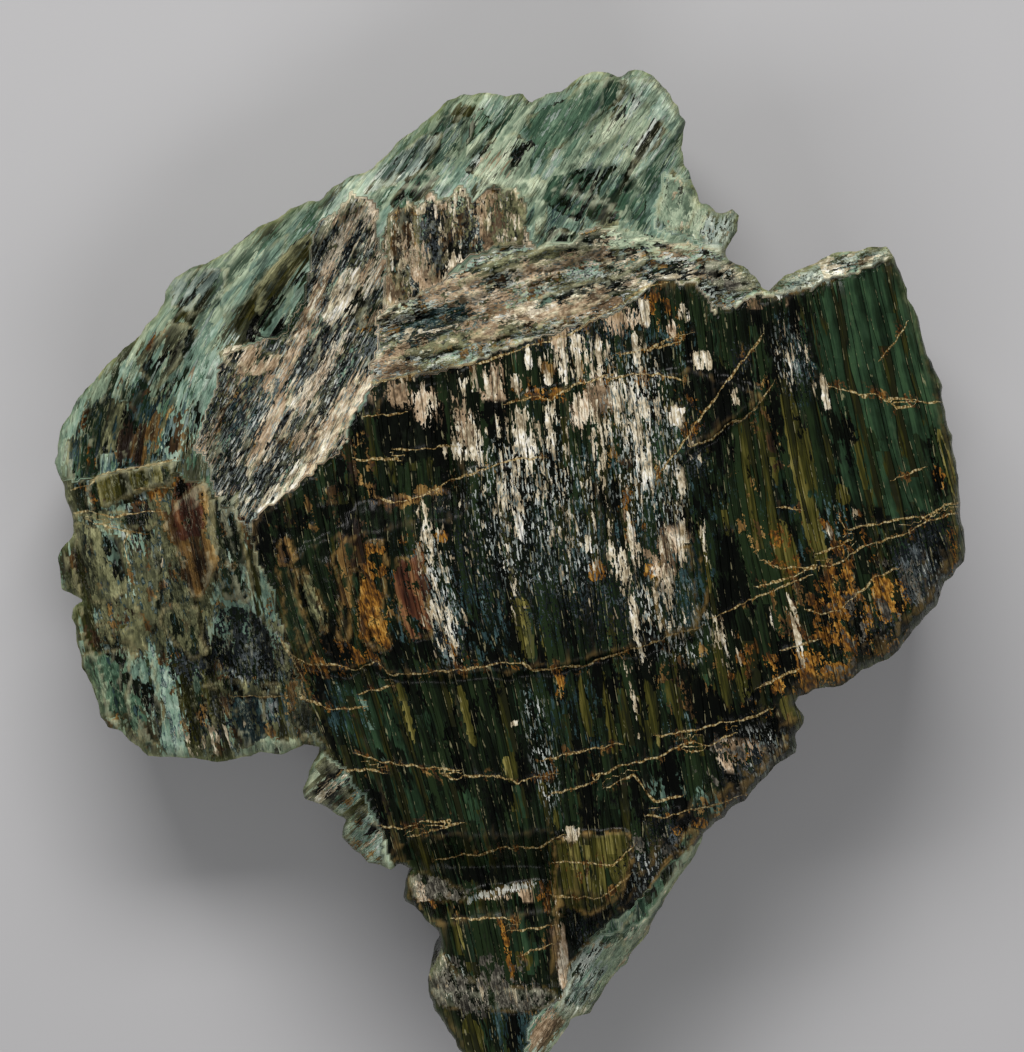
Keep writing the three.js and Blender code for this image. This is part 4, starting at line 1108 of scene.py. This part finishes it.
# a lath that is clearly olive or deep green has no black on it
coats["black"] *= 1 - smooth_step(np.maximum(coats["olive"], coats["deep"]), 0.6, 0.9)
stain = 0.5 + 0.5 * fractal(px / 7, py / 7, seed=121)
print("mean density:", {coat: round(float(d.mean()), 2) for coat, d in coats.items()})

# %% [markdown]
# ## Veinlets
#
# Where the slab cracked across its fibres, thin tan veinlets fill the cracks. Each is a drawn line. The
# mesh carries the signed distance to the nearest one: between two mesh points a distance is blended
# exactly, so the material can draw a line much thinner than the mesh is fine. Curves laid on the rock
# would be simpler, but they would stand out like wire.

# %% Veinlet lines
VEINLETS = [
    # lower slab
    [(-29.5, -37.5), (-25, -39.3), (-19, -40), (-14, -40.5), (-10, -40.6)],
    [(-32, -41), (-27.5, -40.7), (-25, -41.2)],
    [(-13, -41.5), (-11, -42.5), (-5, -42), (0, -42.7), (2, -43.5), (4, -42.5), (9, -41.8)],
    [(17, -42.3), (23, -39.8), (29, -38.6), (36, -35.3), (38, -35.2), (40, -36), (42, -35),
     (44.5, -33.8)], [(7, -39), (13, -37.4), (19, -36.3), (22, -35.8)],
    [(30, -34), (36, -33.2), (42, -31.5), (47, -31), (52, -28.8)], [(9, -45.5), (15, -44), (18, -42.8)],
    [(35, -37), (38, -37)], [(-25, -52), (-21, -52.7), (-17, -51), (-12, -51)],
    [(-19, -54), (-13, -52.3), (-10, -51.7)],
    [(-14, -59), (-9, -58), (-6, -58), (-1, -56.5), (6, -56.5), (10.5, -54)],
    [(-10.5, -70.5), (-5, -70.3), (1, -70.8)], [(.5, -73), (3, -72.7), (8.5, -72)],
    [(3, -77.5), (9, -75.5)], [(9.5, -59.5), (13, -59), (19, -59.5), (21, -59.5), (25, -56)],
    [(9, -66), (16, -66.2), (19, -66), (24, -62)], [(28, -49.8), (31, -50.2), (38, -48.3), (47.5, -46)],
    [(20, -44), (25, -42), (27.5, -45)], [(27.5, -45.5), (29, -47.3), (34, -46)],
    # right block
    [(63, 36), (67.5, 34.5), (74, 33.3), (77, 30.8), (80, 31.5)],
    [(66, 35), (72, 33), (79, 32.8), (86.5, 32)], [(74, 41), (76, 43), (79, 47.5)],
    [(66, 8.5), (67, 7), (71, 7.5), (77, 9), (83, 9.5), (87, 12), (90, 12.5)],
    [(62, 2.5), (66, 3.8), (68, 5)],
    [(59, -.5), (64, -.2), (66, .3), (70, 3.5), (75, 5), (80, 6.5), (83, 8.5), (89, 10.4), (91, 10)],
    [(61, -.5), (55, -3), (50, -4.2)], [(51, .5), (54, -.8), (61, -.5)], [(77, 17), (82, 19)],
    [(54.5, 11.5), (58, 11.2)], [(67, -8), (71, -4.5), (73, -2.5), (77, -.8)],
    [(60, -9), (63, -10), (68, -8)], [(50, -24.5), (55, -22), (58, -20.5)], [(55, -17), (61, -15)],
    [(41, -10.5), (46, -8), (52, -5.5), (59, -2.5)],
    # middle and upper edge
    [(29.5, 17.5), (34, 23), (38, 29), (44, 37), (50, 45)],
    [(36.5, 23.5), (40, 24.5), (44.5, 28.5), (47, 28.8), (49, 31), (52.5, 36)],
    [(20, 37), (26, 38), (31, 37.8), (35, 36.5)], [(22, 42), (28, 42.5), (34, 44.3)],
    [(27, 42.2), (33, 45.5), (36, 46)],
    [(-27, 36.2), (-20, 37.6), (-12, 39.2), (-4, 40.3), (4, 43.3), (12, 45.5), (20, 50.5), (27, 55),
     (31, 56)], [(0, 32), (6, 33.5), (8, 32.5), (13, 35.5), (21, 38)],
    [(-26, 13), (-23, 12), (-17, 13.8), (-11, 16.8), (-5, 19), (1, 20.8), (7, 21.3)],
    [(-22, 22.8), (-11, 23.6)], [(-30, 21), (-22, 21)], [(-28, 29.5), (-21, 30.2)],
    [(-44, -17), (-40, -19.5), (-30, -21), (-26, -19), (-24, -22), (-10, -21), (0, -19.5), (3, -19.5),
     (4.5, -21), (15, -20), (20, -18), (26, -16.3), (38, -12.3)],
    # left lobe
    [(-87, 15), (-84, 16), (-82, 18), (-75, 19.3), (-67, 20.8)], [(-74, 15), (-68, 15.3)],
    [(-87, 10), (-84, 10.5), (-80, 9.5), (-70, 10.5)], [(-84, 9), (-81, 7.5), (-76, 6.3), (-73, 6)],
    [(-76.5, 6), (-77, 3), (-76, 0)], [(-45, -15), (-41, -22), (-40, -27)], [(-55, -26.5), (-44, -26.2)],
    [(-41, -26.5), (-35, -28.8), (-29, -28.3)], [(-29, -25.5), (-24, -24.5)],
]


def nearest_vein(x, y):
    """Distance to the nearest veinlet, and the same with the sign of the side."""
    gap, side = np.full(x.shape, 1e9), np.full(x.shape, 1e9)
    for line in VEINLETS:
        line_gap, line_side = line_distance(x, y, np.array(line, float), False)
        closer = line_gap < gap
        gap, side = np.where(closer, line_gap, gap), np.where(closer, line_side, side)
    return gap, side


VEIN_STEP, STEP_WIDTH, STEP_REACH = 0.18, 0.6, 2.5  # the slab stands higher on one side of a crack
VEIN_GROOVE, GROOVE_WIDTH = 0.12, 0.5
VEIN_WANDER, WANDER_LENGTH = 0.5, 2.2
VEIN_STAINS = {"ochre": (0.5, 0.5), "brown": (0.6, 0.9)}  # density and reach of the stain beside one
on_top = slice(0, face_count)
wander = VEIN_WANDER * fractal(px / WANDER_LENGTH, py / WANDER_LENGTH, seed=111)
vein_gap, vein_side = nearest_vein(px + wander, py + wander)
points[on_top, 2] += (VEIN_STEP * np.tanh(vein_side / STEP_WIDTH) * np.exp(-vein_gap / STEP_REACH)
                      - VEIN_GROOVE * np.exp(-(vein_gap / GROOVE_WIDTH) ** 2))[on_top]
on_face = (point_province == names.index("face")) & (np.arange(len(points)) < face_count)
for kind, (strength, reach) in VEIN_STAINS.items():
    coats[kind] = np.maximum(coats[kind], on_face * strength * stain * np.exp(-vein_gap / reach))
print("veinlets:", len(VEINLETS))


# %% [markdown]
# A crest is a place that is higher than its surroundings, and a pit one that is lower. Both are found by
# comparing the height with its own mean round about, once near by and once further away. Blender's own
# measure of this, pointiness, only looks at the edges that meet in a point, and that is too short here.

# %% Pits and crests
CREST_SCALES = ((1.2, 3), (0.3, 40))  # weight, and rounds of blurring that make the mean
THIN_REACH, THIN_RIM = 0.8, 0.6  # how far in from the edge of the face the painted glow of thin stone reaches; its share on the rim
CRUST_HIDES, DARK_EDGE = 0.8, 0.7  # how far a crust hides laths, and how opaque the edge of a lath is
face_grid = np.zeros(used.shape)
face_grid[used] = points[on_top, 2]
crest = np.zeros(len(points))
crest[on_top] = sum(weight * (face_grid - blurred(face_grid, used, rounds))
                    for weight, rounds in CREST_SCALES)[used]
# painted glow where the stone is thin enough to let light through: along the edge of the face, and on the
# rim
thin_edge_glow = np.zeros(len(points))
thin_edge_glow[on_top] = np.exp(-rimwards / THIN_REACH)
thin_edge_glow[face_count + under_count:] = THIN_RIM
# a rim point keeps the grain of the face point above it
above = np.concatenate([np.arange(face_count + under_count), np.tile(rim_face, RIM_ROWS - 1)])
across_all, along_all = fibre_coordinates(px[above], py[above], point_province[above])
blade_tone = (0.6 * shingles(across_all, along_all, *LONG_BLADE)[1]
              + 0.4 * shingles(across_all, along_all, *SHORT_BLADE)[1])
# squared, so that a province with low laths shows few of them in its colour
lath_share = np.array([RELIEF[name][3] ** 2 for name in names])[point_province]
lath_share *= 1 - CRUST_HIDES * smooth_step(coats["crust"], 0.3, 0.6)
thin_edge_glow *= 1 - DARK_EDGE * lath_share
print("crest from", round(crest.min(), 2), "to", round(crest.max(), 2))

# %% Make the mesh
middle_x = (points[:, 0].min() + points[:, 0].max()) / 2
middle_y = (points[:, 1].min() + points[:, 1].max()) / 2


def new_mesh(name, vertices, quads, triangles=None):
    """Mesh from whole arrays: vertices in millimetres, then four or three corner numbers a face."""
    triangles = np.zeros((0, 3), int) if triangles is None else triangles
    mesh = bpy.data.meshes.new(name)
    mesh.vertices.add(len(vertices))
    mesh.vertices.foreach_set("co", (vertices * MM).astype(np.float32).ravel())
    corners = np.concatenate([quads.ravel(), triangles.ravel()])
    mesh.loops.add(len(corners))
    mesh.loops.foreach_set("vertex_index", corners.astype(np.int32))
    sizes = np.concatenate([np.full(len(quads), 4), np.full(len(triangles), 3)])
    mesh.polygons.add(len(sizes))
    mesh.polygons.foreach_set("loop_start", (np.cumsum(sizes) - sizes).astype(np.int32))
    mesh.update(calc_edges=True)
    mesh.validate()
    return mesh


rock_mesh = new_mesh("rock", points - np.array([middle_x, middle_y, 0.0]), quads, triangles)
rock = bpy.data.objects.new("rock", rock_mesh)
bpy.context.scene.collection.objects.link(rock)
rock_mesh.shade_smooth()
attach(rock, "root")
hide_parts(ROCK)
print("vertices:", len(rock_mesh.vertices), "faces:", len(rock_mesh.polygons))

# %% [markdown]
# The material has to know what lies where. Image maps would need a flat layout of the surface, with
# seams. Numbers stored at the vertices need none, and the mesh is fine enough to hold them.

# %% Attributes for the material
GRAIN_SQUEEZE = {  # how much finer the grain is than on the face, across and along the fibres
    "mantle": (0.8, 0.5), "left lobe": (0.7, 0.7), "streak band": (1.15, 0.65), "schist": (0.9, 1.3),
    "rear ledge": (0.9, 1.0), "glassy tab": (1.0, 1.4), "right splinter": (1.3, 1.0),
    "left splinter": (1.3, 1.0),
}


def give_attribute(mesh, name, values):
    """Stores one number, or three, at each vertex."""
    kind, field = ("FLOAT", "value") if values.ndim == 1 else ("FLOAT_VECTOR", "vector")
    made = mesh.attributes.new(name, kind, "POINT")
    made.data.foreach_set(field, values.astype(np.float32).ravel())


MIDDLE_LEVEL = 30  # the grain of the underside is counted down from here
seam = np.zeros(len(points))  # 1 round every face whose corners lie in two provinces
for cells in (quads, triangles):
    numbers = point_province[cells]
    seam[cells[numbers.max(axis=1) != numbers.min(axis=1)]] = 1
squeeze = np.array([GRAIN_SQUEEZE.get(name, (1, 1)) for name in names])[point_province].T
below = np.concatenate([np.zeros(face_count), MIDDLE_LEVEL - uz, (fz[rim_face] - rz).ravel()])
down_across = (0.4 + 0.5 * lath_share) * below  # laths lie level on the rim, flakes slant
down_along = (0.9 - 0.8 * lath_share) * below
give_attribute(rock_mesh, "grain", np.column_stack([squeeze[0] * across_all + down_across,
                                                    squeeze[1] * along_all + down_along, below]))
signs = {"blade": blade_tone, "vein_side": vein_side, "vein_gap": vein_gap, "crest": crest,
         "thin": thin_edge_glow, "laths": lath_share, "facet_highlight": facet_highlight, "seam": seam}
for name, values in (signs | coats).items():
    give_attribute(rock_mesh, name, values)
print("attributes:", len(rock_mesh.attributes))

# %% [markdown]
# ## The stone
#
# Serpentine (antigorite): waxy, a little translucent at thin edges, IOR 1.56. The material starts with
# a near-black green drawn in fibre streaks, and lays the coats over it one by one. A coat covers a
# spot where its density is higher than a pattern of streaks or of grit, which breaks its edge into
# fibres or grains; inside, a ramp of its own colours follows a second streak pattern.

# %% Colour and node helpers
def linear(code):
    """Linear colour of a hex code, and 1 for solid: each channel c goes to ((c + 0.055) / 1.055) ** 2.4,
    or to c / 12.92 below 0.04045."""
    channels = [int(code[k:k + 2], 16) / 255 for k in (1, 3, 5)]
    return [c / 12.92 if c <= 0.04045 else ((c + 0.055) / 1.055) ** 2.4 for c in channels] + [1.0]


stone = bpy.data.materials.new("serpentine_broken_along_fibres")
stone.use_nodes = True
tree = stone.node_tree
tree.nodes.clear()


def add(kind, inputs=(), **settings):
    """Adds a shader node with its settings and gives its outputs. The inputs come in the order of the
    sockets or in a dictionary; a socket among them is linked, a value is set."""
    made = tree.nodes.new("ShaderNode" + kind)
    for name, value in settings.items():
        setattr(made, name, value)
    for key, value in (inputs if isinstance(inputs, dict) else dict(enumerate(inputs))).items():
        if isinstance(value, bpy.types.NodeSocket):
            tree.links.new(value, made.inputs[key])
        else:
            made.inputs[key].default_value = value
    return made.outputs


# %% Formulas that take a few nodes
def product(*factors):
    """The factors, multiplied one after another."""
    total, *others = factors
    for factor in others:
        total = add("Math", (total, factor), operation="MULTIPLY")[0]
    return total


def sum_of(*parts):
    """Weighted sum of patterns, given as pairs of weight and pattern."""
    total = 0.0
    for weight, pattern in parts:
        total = add("Math", (pattern, weight, total), operation="MULTIPLY_ADD")[0]
    return total


def distance(value, place):
    """How far a value lies from a place, to either side."""
    away = add("Math", (value, place), operation="SUBTRACT")[0]
    return add("Math", [away], operation="ABSOLUTE")[0]


def spread(value, low, high, low_to=0.0, high_to=1.0):
    """Stretches a value so that low becomes low_to and high becomes high_to, with a smooth start."""
    return add("MapRange", (value, low, high, low_to, high_to), interpolation_type="SMOOTHSTEP")[0]


def laid_over(color, *layers):
    """The colour with others laid over it one by one, each given with its share from 0 to 1."""
    for share, over in layers:
        color = add("Mix", {"Factor": share, 6: color, 7: over}, data_type="RGBA")[2]
    return color


def shades(pattern, codes):
    """A mineral's colours, from dark to light at equal steps of a pattern."""
    shade = add("ValToRGB", [pattern])[0]
    stops = shade.node.color_ramp.elements
    while len(stops) < len(codes):
        stops.new(0.5)
    for index, (stop, code) in enumerate(zip(stops, codes)):
        stop.position = index / (len(codes) - 1)
        stop.color = linear(code)
    return shade


stored = {name: add("Attribute", attribute_name=name)["Fac"] for name in signs | coats}
grain = add("Attribute", attribute_name="grain")["Vector"]

# %% [markdown]
# The patterns are noise laid out in fibre coordinates, so that in every province they run along its
# fibres. An image could be wrapped round the rock instead, but it would stretch on the steep flanks and
# blur close up.

# %% Patterns, each with the size in millimetres of what it draws
def grains(across_mm, along_mm, detail, shift=0.0):
    """Noise from 0 to 1 whose grains have that size across and along the fibres."""
    scale = (1 / across_mm, 1 / along_mm, 1)
    scaled = add("VectorMath", (grain, scale, (shift, 3 * shift, 0)), operation="MULTIPLY_ADD")[0]
    pattern = add("TexNoise", {"Vector": scaled, "Scale": 1.0, "Detail": detail, "Roughness": 0.6},
                  noise_dimensions="2D")[0]
    return spread(pattern, 0.28, 0.72)


streak_fine = grains(0.4, 6.0, 1.0)
streak_mid = grains(2.2, 30.0, 1.0, 1.7)
strokes = grains(0.85, 4.2, 3.0, 5.3)
dashes = grains(0.5, 1.5, 2.0, 3.1)
blotch = grains(3.2, 4.8, 3.0, 8.7)
grit = grains(0.45, 0.55, 1.0, 4.1)


def flakes(across_mm, along_mm, shift):
    """Flakes of that size with bent edges. Gives two random numbers from 0 to 1 for each flake, its
    height, which is a plane through its middle with a random tilt, and the distance to its edge."""
    bent = add("CombineXYZ", (product(dashes, 0.5 * across_mm), product(strokes, 0.5 * along_mm)))[0]
    place = add("VectorMath", (grain, bent), operation="ADD")[0]
    scale = (1 / across_mm, 1 / along_mm, 1)
    place = add("VectorMath", (place, scale, (shift, shift, 0)), operation="MULTIPLY_ADD")[0]
    cell = add("TexVoronoi", {"Vector": place, "Scale": 1.0}, voronoi_dimensions="2D")
    random = add("SeparateColor", [cell["Color"]])
    away = add("VectorMath", (place, cell["Position"]), operation="SUBTRACT")[0]
    tilt = add("VectorMath", (cell["Color"], (0.5, 0.5, 0.5)), operation="SUBTRACT")[0]
    plane = add("VectorMath", (away, tilt), operation="DOT_PRODUCT")["Value"]
    edge = add("TexVoronoi", {"Vector": place, "Scale": 1.0}, voronoi_dimensions="2D",
               feature="DISTANCE_TO_EDGE")["Distance"]
    return random[0], random[2], plane, edge


chip_tone, _, chip_plane, _ = flakes(1.0, 2.4, 0.0)
plate_tone, plate_second, plate_plane, plate_edge = flakes(3.2, 8.5, 11.0)


def evened(total):
    """A sum of patterns crowds round its middle; this stretches it so that a density of 0.3 is reached
    on about three tenths of the surface."""
    return add("MapRange", (total, 0.22, 0.78))[0]


# %% [markdown]
# On the dark face every lath has a tone of its own: partly its own colour, partly painted shade for the
# slant it broke at. The colour numbers its laths in the same way as the relief does. The border of a lath
# is painted dark, as shade in the slot between laths, and a painted highlight gleams along a line near
# one side of it. Stripes painted by hand would not end where a lath ends.

# %% Laths
LATH_WIDTH = 1.7
LATH_LENGTH = 26.0
GLEAM_PLACE = 0.13  # where the painted highlight line lies, as a share of the lath's width
across_mm, along_mm, _ = add("SeparateXYZ", [grain])
lath_place = add("Math", (across_mm, 1 / LATH_WIDTH, product(streak_mid, 0.9)), operation="MULTIPLY_ADD")[0]
lath_number = add("Math", [lath_place], operation="FLOOR")[0]
lath_inside = add("Math", [lath_place], operation="FRACT")[0]
lath_start = add("TexWhiteNoise", {"W": lath_number}, noise_dimensions="1D")["Value"]
lath_along = add("Math", (along_mm, 1 / LATH_LENGTH, product(lath_start, 9)), operation="MULTIPLY_ADD")[0]
lath_piece = add("Math", [lath_along], operation="FLOOR")[0]
lath_key = add("CombineXYZ", (lath_number, lath_piece))[0]
lath_tone = add("TexWhiteNoise", {"Vector": lath_key}, noise_dimensions="2D")["Value"]
# border of a lath: a groove in the bump, and painted shade in the colour
lath_edge = spread(distance(lath_inside, 0.5), 0.4, 0.5)
# painted highlight line near one side of a lath, broken into dashes
gleam_line = spread(distance(lath_inside, GLEAM_PLACE), 0.08, 0.02)
lath_gleam = product(gleam_line, spread(product(dashes, strokes), 0.36, 0.62))
lathy = stored["laths"]  # how far the place belongs to the laths, and how far to the flakes
flaky = add("Math", (1.0, lathy), operation="SUBTRACT")[0]
blade = stored["blade"]

BREAKS = {  # what breaks up the edge of a coat
    "laths": evened(sum_of((0.68, lath_tone), (0.2, streak_mid), (0.12, strokes))),
    "flakes": evened(sum_of((0.3, chip_tone), (0.25, blade), (0.45, plate_tone))),
    "plates": evened(sum_of((0.15, chip_tone), (0.25, blade), (0.6, plate_second))),
    "strokes": evened(sum_of((0.55, strokes), (0.3, dashes), (0.15, grit))),
    "scales": evened(sum_of((0.22, lath_tone), (0.33, strokes), (0.25, chip_tone), (0.2, dashes))),
    "dashes": evened(sum_of((0.7, dashes), (0.3, streak_fine))),
    "patches": evened(sum_of((0.55, blotch), (0.3, chip_tone), (0.15, grit))),
    "chunks": evened(sum_of((0.75, plate_second), (0.1, blotch), (0.15, dashes))),
    "grains": evened(sum_of((0.5, grit), (0.5, dashes))),
}
tone_flake = evened(sum_of((0.2, chip_tone), (0.3, blade), (0.28, plate_second), (0.12, dashes),
                           (0.1, blotch)))
tone_crust = evened(sum_of((0.35, blotch), (0.35, dashes), (0.3, chip_tone)))
tone_chunk = evened(sum_of((0.5, plate_tone), (0.25, blotch), (0.25, dashes)))
tone_smooth = evened(sum_of((0.4, streak_mid), (0.25, lath_tone), (0.2, blotch), (0.15, streak_fine)))
tone_lath = evened(sum_of((0.55, lath_tone), (0.25, streak_mid), (0.2, streak_fine)))
print("laths in the colour, mm:", LATH_WIDTH, "by", LATH_LENGTH)

# %% [markdown]
# Mid, leaf, pale and deep are fresh serpentine, moss and slate are altered, and frost is bruised. Olive,
# brown, ochre and lens are fibre that iron has stained. Pepper and black are grains of magnetite, and black
# is also painted shade in the hollows and the dark recess. Tan, crust and cream are crusts left by
# weathering, and glint is a painted highlight: the light on loose fibre ends, put into the colour.
#
# They go over the near-black base in the order of the list: first the greens, then stains and dark
# grains, and last the crusts and glints, which also on the rock lie on all others. One painted image
# for each coat would do as well, but it would have to be kept in step with the shape.

# %% Base and coats
COVER_GAIN, CREAM_GAIN, COVER_SHIFT = 1.1, 1.0, -0.06  # stretch a density; cream stays more broken
COVER_SOFT = 0.04  # half the width of the blurred edge of a coat
COATS = {  # what breaks it up, what its colour follows, colours from dark to light, roughness
    "mid": ("flakes", tone_flake, ["#2b3b34", "#4b6156", "#789482", "#aec2b2"], 0.5),
    "leaf": ("plates", tone_flake, ["#182c21", "#304a39", "#56745d", "#94ad92"], 0.4),
    "moss": ("plates", tone_flake, ["#1f2217", "#424531", "#6b6c4c", "#a6a67e"], 0.5),
    "deep": ("laths", tone_smooth, ["#101b10", "#1a2a1a", "#243826", "#324a31"], 0.24),
    "slate": ("strokes", tone_flake, ["#0d1617", "#1a2b2d", "#344c4e", "#728783"], 0.4),
    "frost": ("strokes", tone_flake, ["#414e4a", "#6f7e76", "#9caaa0", "#d4dad1"], 0.45),
    "pale": ("flakes", tone_flake, ["#4f6150", "#80937c", "#a8b79c", "#d3dac0"], 0.5),
    "olive": ("laths", tone_lath, ["#191b0a", "#34340f", "#585325", "#8e864c"], 0.36),
    "brown": ("patches", tone_smooth, ["#1a110a", "#42301a", "#70552c", "#a8874f"], 0.5),
    "ochre": ("patches", tone_crust, ["#301e0a", "#644015", "#966824", "#be944a"], 0.5),
    "lens": ("patches", tone_smooth, ["#1c0f0b", "#3a2016", "#5a3622", "#86603e"], 0.36),
    "pepper": ("grains", tone_flake, ["#030505", "#0c1012", "#1d2327", "#636c6e"], 0.3),
    # black: magnetite, and painted shade in hollows
    "black": ("plates", tone_flake, ["#020302", "#040603", "#080c06", "#12180f"], 0.25),
    "tan": ("chunks", tone_chunk, ["#544534", "#8a745a", "#bda588", "#ebdfc8"], 0.7),
    "crust": ("patches", tone_crust, ["#2e2c27", "#56534a", "#7c786c", "#aba699"], 0.6),
    "cream": ("scales", tone_crust, ["#85775f", "#bfb296", "#e4dcc6", "#faf8f2"], 0.7),
    # painted highlight: specks of light on loose fibre ends
    "glint": ("dashes", tone_crust, ["#59635f", "#929a94", "#c4c9c3", "#eef0ec"], 0.4),
}
# base: one tone for each lath, partly its own colour, partly painted shade for its slant
color = shades(tone_lath, ["#020301", "#060a04", "#0e160b", "#1d2a16"])
roughness = 0.25
for coat, (broken_by, follows, codes, coat_roughness) in COATS.items():
    gain = CREAM_GAIN if coat == "cream" else COVER_GAIN
    over = add("Math", (stored[coat], gain, COVER_SHIFT), operation="MULTIPLY_ADD")[0]
    above_pattern = add("Math", (over, BREAKS[broken_by]), operation="SUBTRACT")[0]
    cover = spread(above_pattern, -COVER_SOFT, COVER_SOFT)
    color = laid_over(color, (cover, shades(follows, codes)))
    roughness = add("Mix", {0: cover, 2: roughness, 3: coat_roughness}, data_type="FLOAT")[0]
print("coats:", ", ".join(COATS))

# %% [markdown]
# Last come lines and edges. Veinlets are thin seams of pale fibre. Hollows get painted shade, crests and
# the raised edges of facets and flakes get painted highlights, the borders of laths painted shade, and thin
# edges of the green lobes a painted glow for the light that comes through them. A bump in the material adds
# what is too fine for the mesh, so that the mesh stays small enough to handle.

# %% Veinlets, painted shade in pits and between laths, painted highlights and glow
VEIN_REACH = 1.2  # no veinlet is drawn further than this from its line
STONE_IOR = 1.56
STONE_GLOSS = 0.11  # broken fibre ends scatter most of what a polished face would reflect
# painted shade, near black, for the pits of the laths and the slots between them
SLOT_SHADE = linear("#030504")
vein_wander = add("Math", (streak_mid, 0.36, -0.18), operation="MULTIPLY_ADD")[0]
vein_place = add("Math", (stored["vein_side"], vein_wander), operation="ADD")[0]
vein_away = add("Math", [vein_place], operation="ABSOLUTE")[0]
vein_width = spread(blotch, 0.1, 0.9, 0.05, 0.22)
line = spread(add("Math", (vein_width, vein_away), operation="SUBTRACT")[0], -0.08, 0.04)
line = product(line, add("Math", (stored["vein_gap"], VEIN_REACH), operation="LESS_THAN")[0])
crest = stored["crest"]
# painted highlight along raised facet edges, broken up by blotches
ledge = product(stored["facet_highlight"], spread(blotch, 0.3, 0.75))
# painted highlight along the borders of flakes
plate_rim_highlight = product(spread(plate_edge, 0.05, 0.015), spread(dashes, 0.35, 0.65))
flaky_blotch = product(flaky, spread(blotch, 0.2, 0.65))
color = laid_over(
    color,
    (product(line, 0.8), shades(grit, ["#5a4424", "#8c7040", "#b39c66", "#d8caa0"])),
    # painted shade in the pits of the flakes
    (product(spread(crest, -0.35, -2.0, 0.0, 0.7), flaky_blotch), linear("#121a15")),
    # painted shade, near black, in the pits of the laths
    (product(spread(crest, -0.15, -1.5, 0.0, 0.9), lathy), SLOT_SHADE))
# colour of a painted highlight: the colour itself made brighter, mixed with a pale tint
pale = laid_over(linear("#c6cab0"), (stored["moss"], linear("#a5a370")))
brighter = add("VectorMath", {0: color, "Scale": 2.4}, operation="SCALE")[0]
lit = laid_over(brighter, (0.6, pale))
color = laid_over(
    color,
    # painted highlight on the crests of the flakes
    (product(spread(crest, 0.15, 0.8, 0.0, 0.7), flaky), lit),
    # painted highlight, tan, on the crests of the laths
    (product(spread(crest, 0.2, 1.0, 0.0, 0.5), lathy), linear("#8a7040")),
    # painted highlight along raised facet edges on the flakes
    (product(ledge, flaky, 0.6), linear("#a8a47c")),
    # painted highlight along the borders of flakes
    (product(plate_rim_highlight, flaky, 0.6), lit),
    # painted highlight along raised facet edges on the laths
    (product(ledge, lathy, 0.75), linear("#9a7c48")),
    # painted glow of the light that comes through thin edges
    (product(stored["thin"], spread(chip_tone, 0.1, 0.9, 0.3, 0.9)),
     shades(blotch, ["#5a6640", "#8d9762", "#bfc494"])),
    # painted shade in the slot between laths
    (product(lath_edge, lathy, 0.6), SLOT_SHADE),
    # painted highlight line along one side of a lath
    (product(lath_gleam, lathy, 0.5), linear("#a39d78")))
chipped = add("Math", (stored["rough"], 0.7, product(flaky, 0.8)), operation="MULTIPLY_ADD")[0]
height = sum_of((0.14, streak_mid), (0.05, streak_fine), (0.16, product(dashes, chipped)),
                (0.75, product(chip_plane, chipped)), (1.9, product(plate_plane, flaky)),
                (0.25, product(lath_tone, lathy)), (-0.2, product(lath_edge, lathy)))
# no bump across a seam, where the fibre coordinates jump from one province to the next
height = product(height, add("Math", (1.0, stored["seam"]), operation="SUBTRACT")[0])
bump = add("Bump", {"Strength": 1.0, "Distance": MM, "Height": height})[0]
worn = spread(crest, 0.05, 0.5)
roughness = add("Mix", {0: worn, 2: roughness, 3: 0.7}, data_type="FLOAT")[0]
shader = add("BsdfPrincipled", {"Base Color": color, "Roughness": roughness, "Normal": bump,
                                "IOR": STONE_IOR, "Specular IOR Level": STONE_GLOSS})[0]
add("OutputMaterial", {"Surface": shader})
rock_mesh.materials.append(stone)
print("nodes:", len(tree.nodes))

# %% [markdown]
# ## Floor and light
#
# The rock lies on a plain pale sheet. One large soft lamp beyond its upper end draws the fibres out
# and puts small glints on them; a second, larger one beyond its lower end fills the hollows. A small
# lamp would draw harder shadows than a room does.

# %% Floor and lights
FLOOR_HALF = 1500.0
floor_corners = FLOOR_HALF * np.array([[-1, -1, 0], [1, -1, 0], [1, 1, 0], [-1, 1, 0]])
floor_mesh = new_mesh("floor", floor_corners, np.array([[0, 1, 2, 3]]))
floor = bpy.data.objects.new("floor", floor_mesh)
bpy.context.scene.collection.objects.link(floor)
sheet = bpy.data.materials.new("painted_board_matt")
sheet.use_nodes = True
paint = sheet.node_tree.nodes["Principled BSDF"]
paint.inputs["Base Color"].default_value = linear("#b7b7ba")
paint.inputs["Roughness"].default_value = 0.8
floor_mesh.materials.append(sheet)


def area_light(name, place, aim, size, power, color):
    """Rectangular lamp turned to its aim; places and sizes in metres, power in watts."""
    data = bpy.data.lights.new(name, "AREA")
    data.shape = "RECTANGLE"
    data.size, data.size_y = size
    data.energy = power
    data.color = color
    lamp = bpy.data.objects.new(name, data)
    lamp.location = place
    direction = Vector(aim) - Vector(place)
    lamp.rotation_euler = direction.to_track_quat("-Z", "Y").to_euler()
    bpy.context.scene.collection.objects.link(lamp)


area_light("key", (-0.1, 0.85, 0.85), (0, 0, 0.03), (0.9, 0.4), 13.6, (1.0, 0.98, 0.95))
area_light("fill", (0.2, -1.2, 1.3), (0, 0, 0.03), (1.2, 0.6), 9.3, (1.0, 0.99, 0.97))

world = bpy.data.worlds.new("room")
world.use_nodes = True
background = world.node_tree.nodes["Background"]
background.inputs["Color"].default_value = linear("#c8c9ca")
background.inputs["Strength"].default_value = 0.31
bpy.context.scene.world = world
print("lamps:", len(bpy.data.lights))
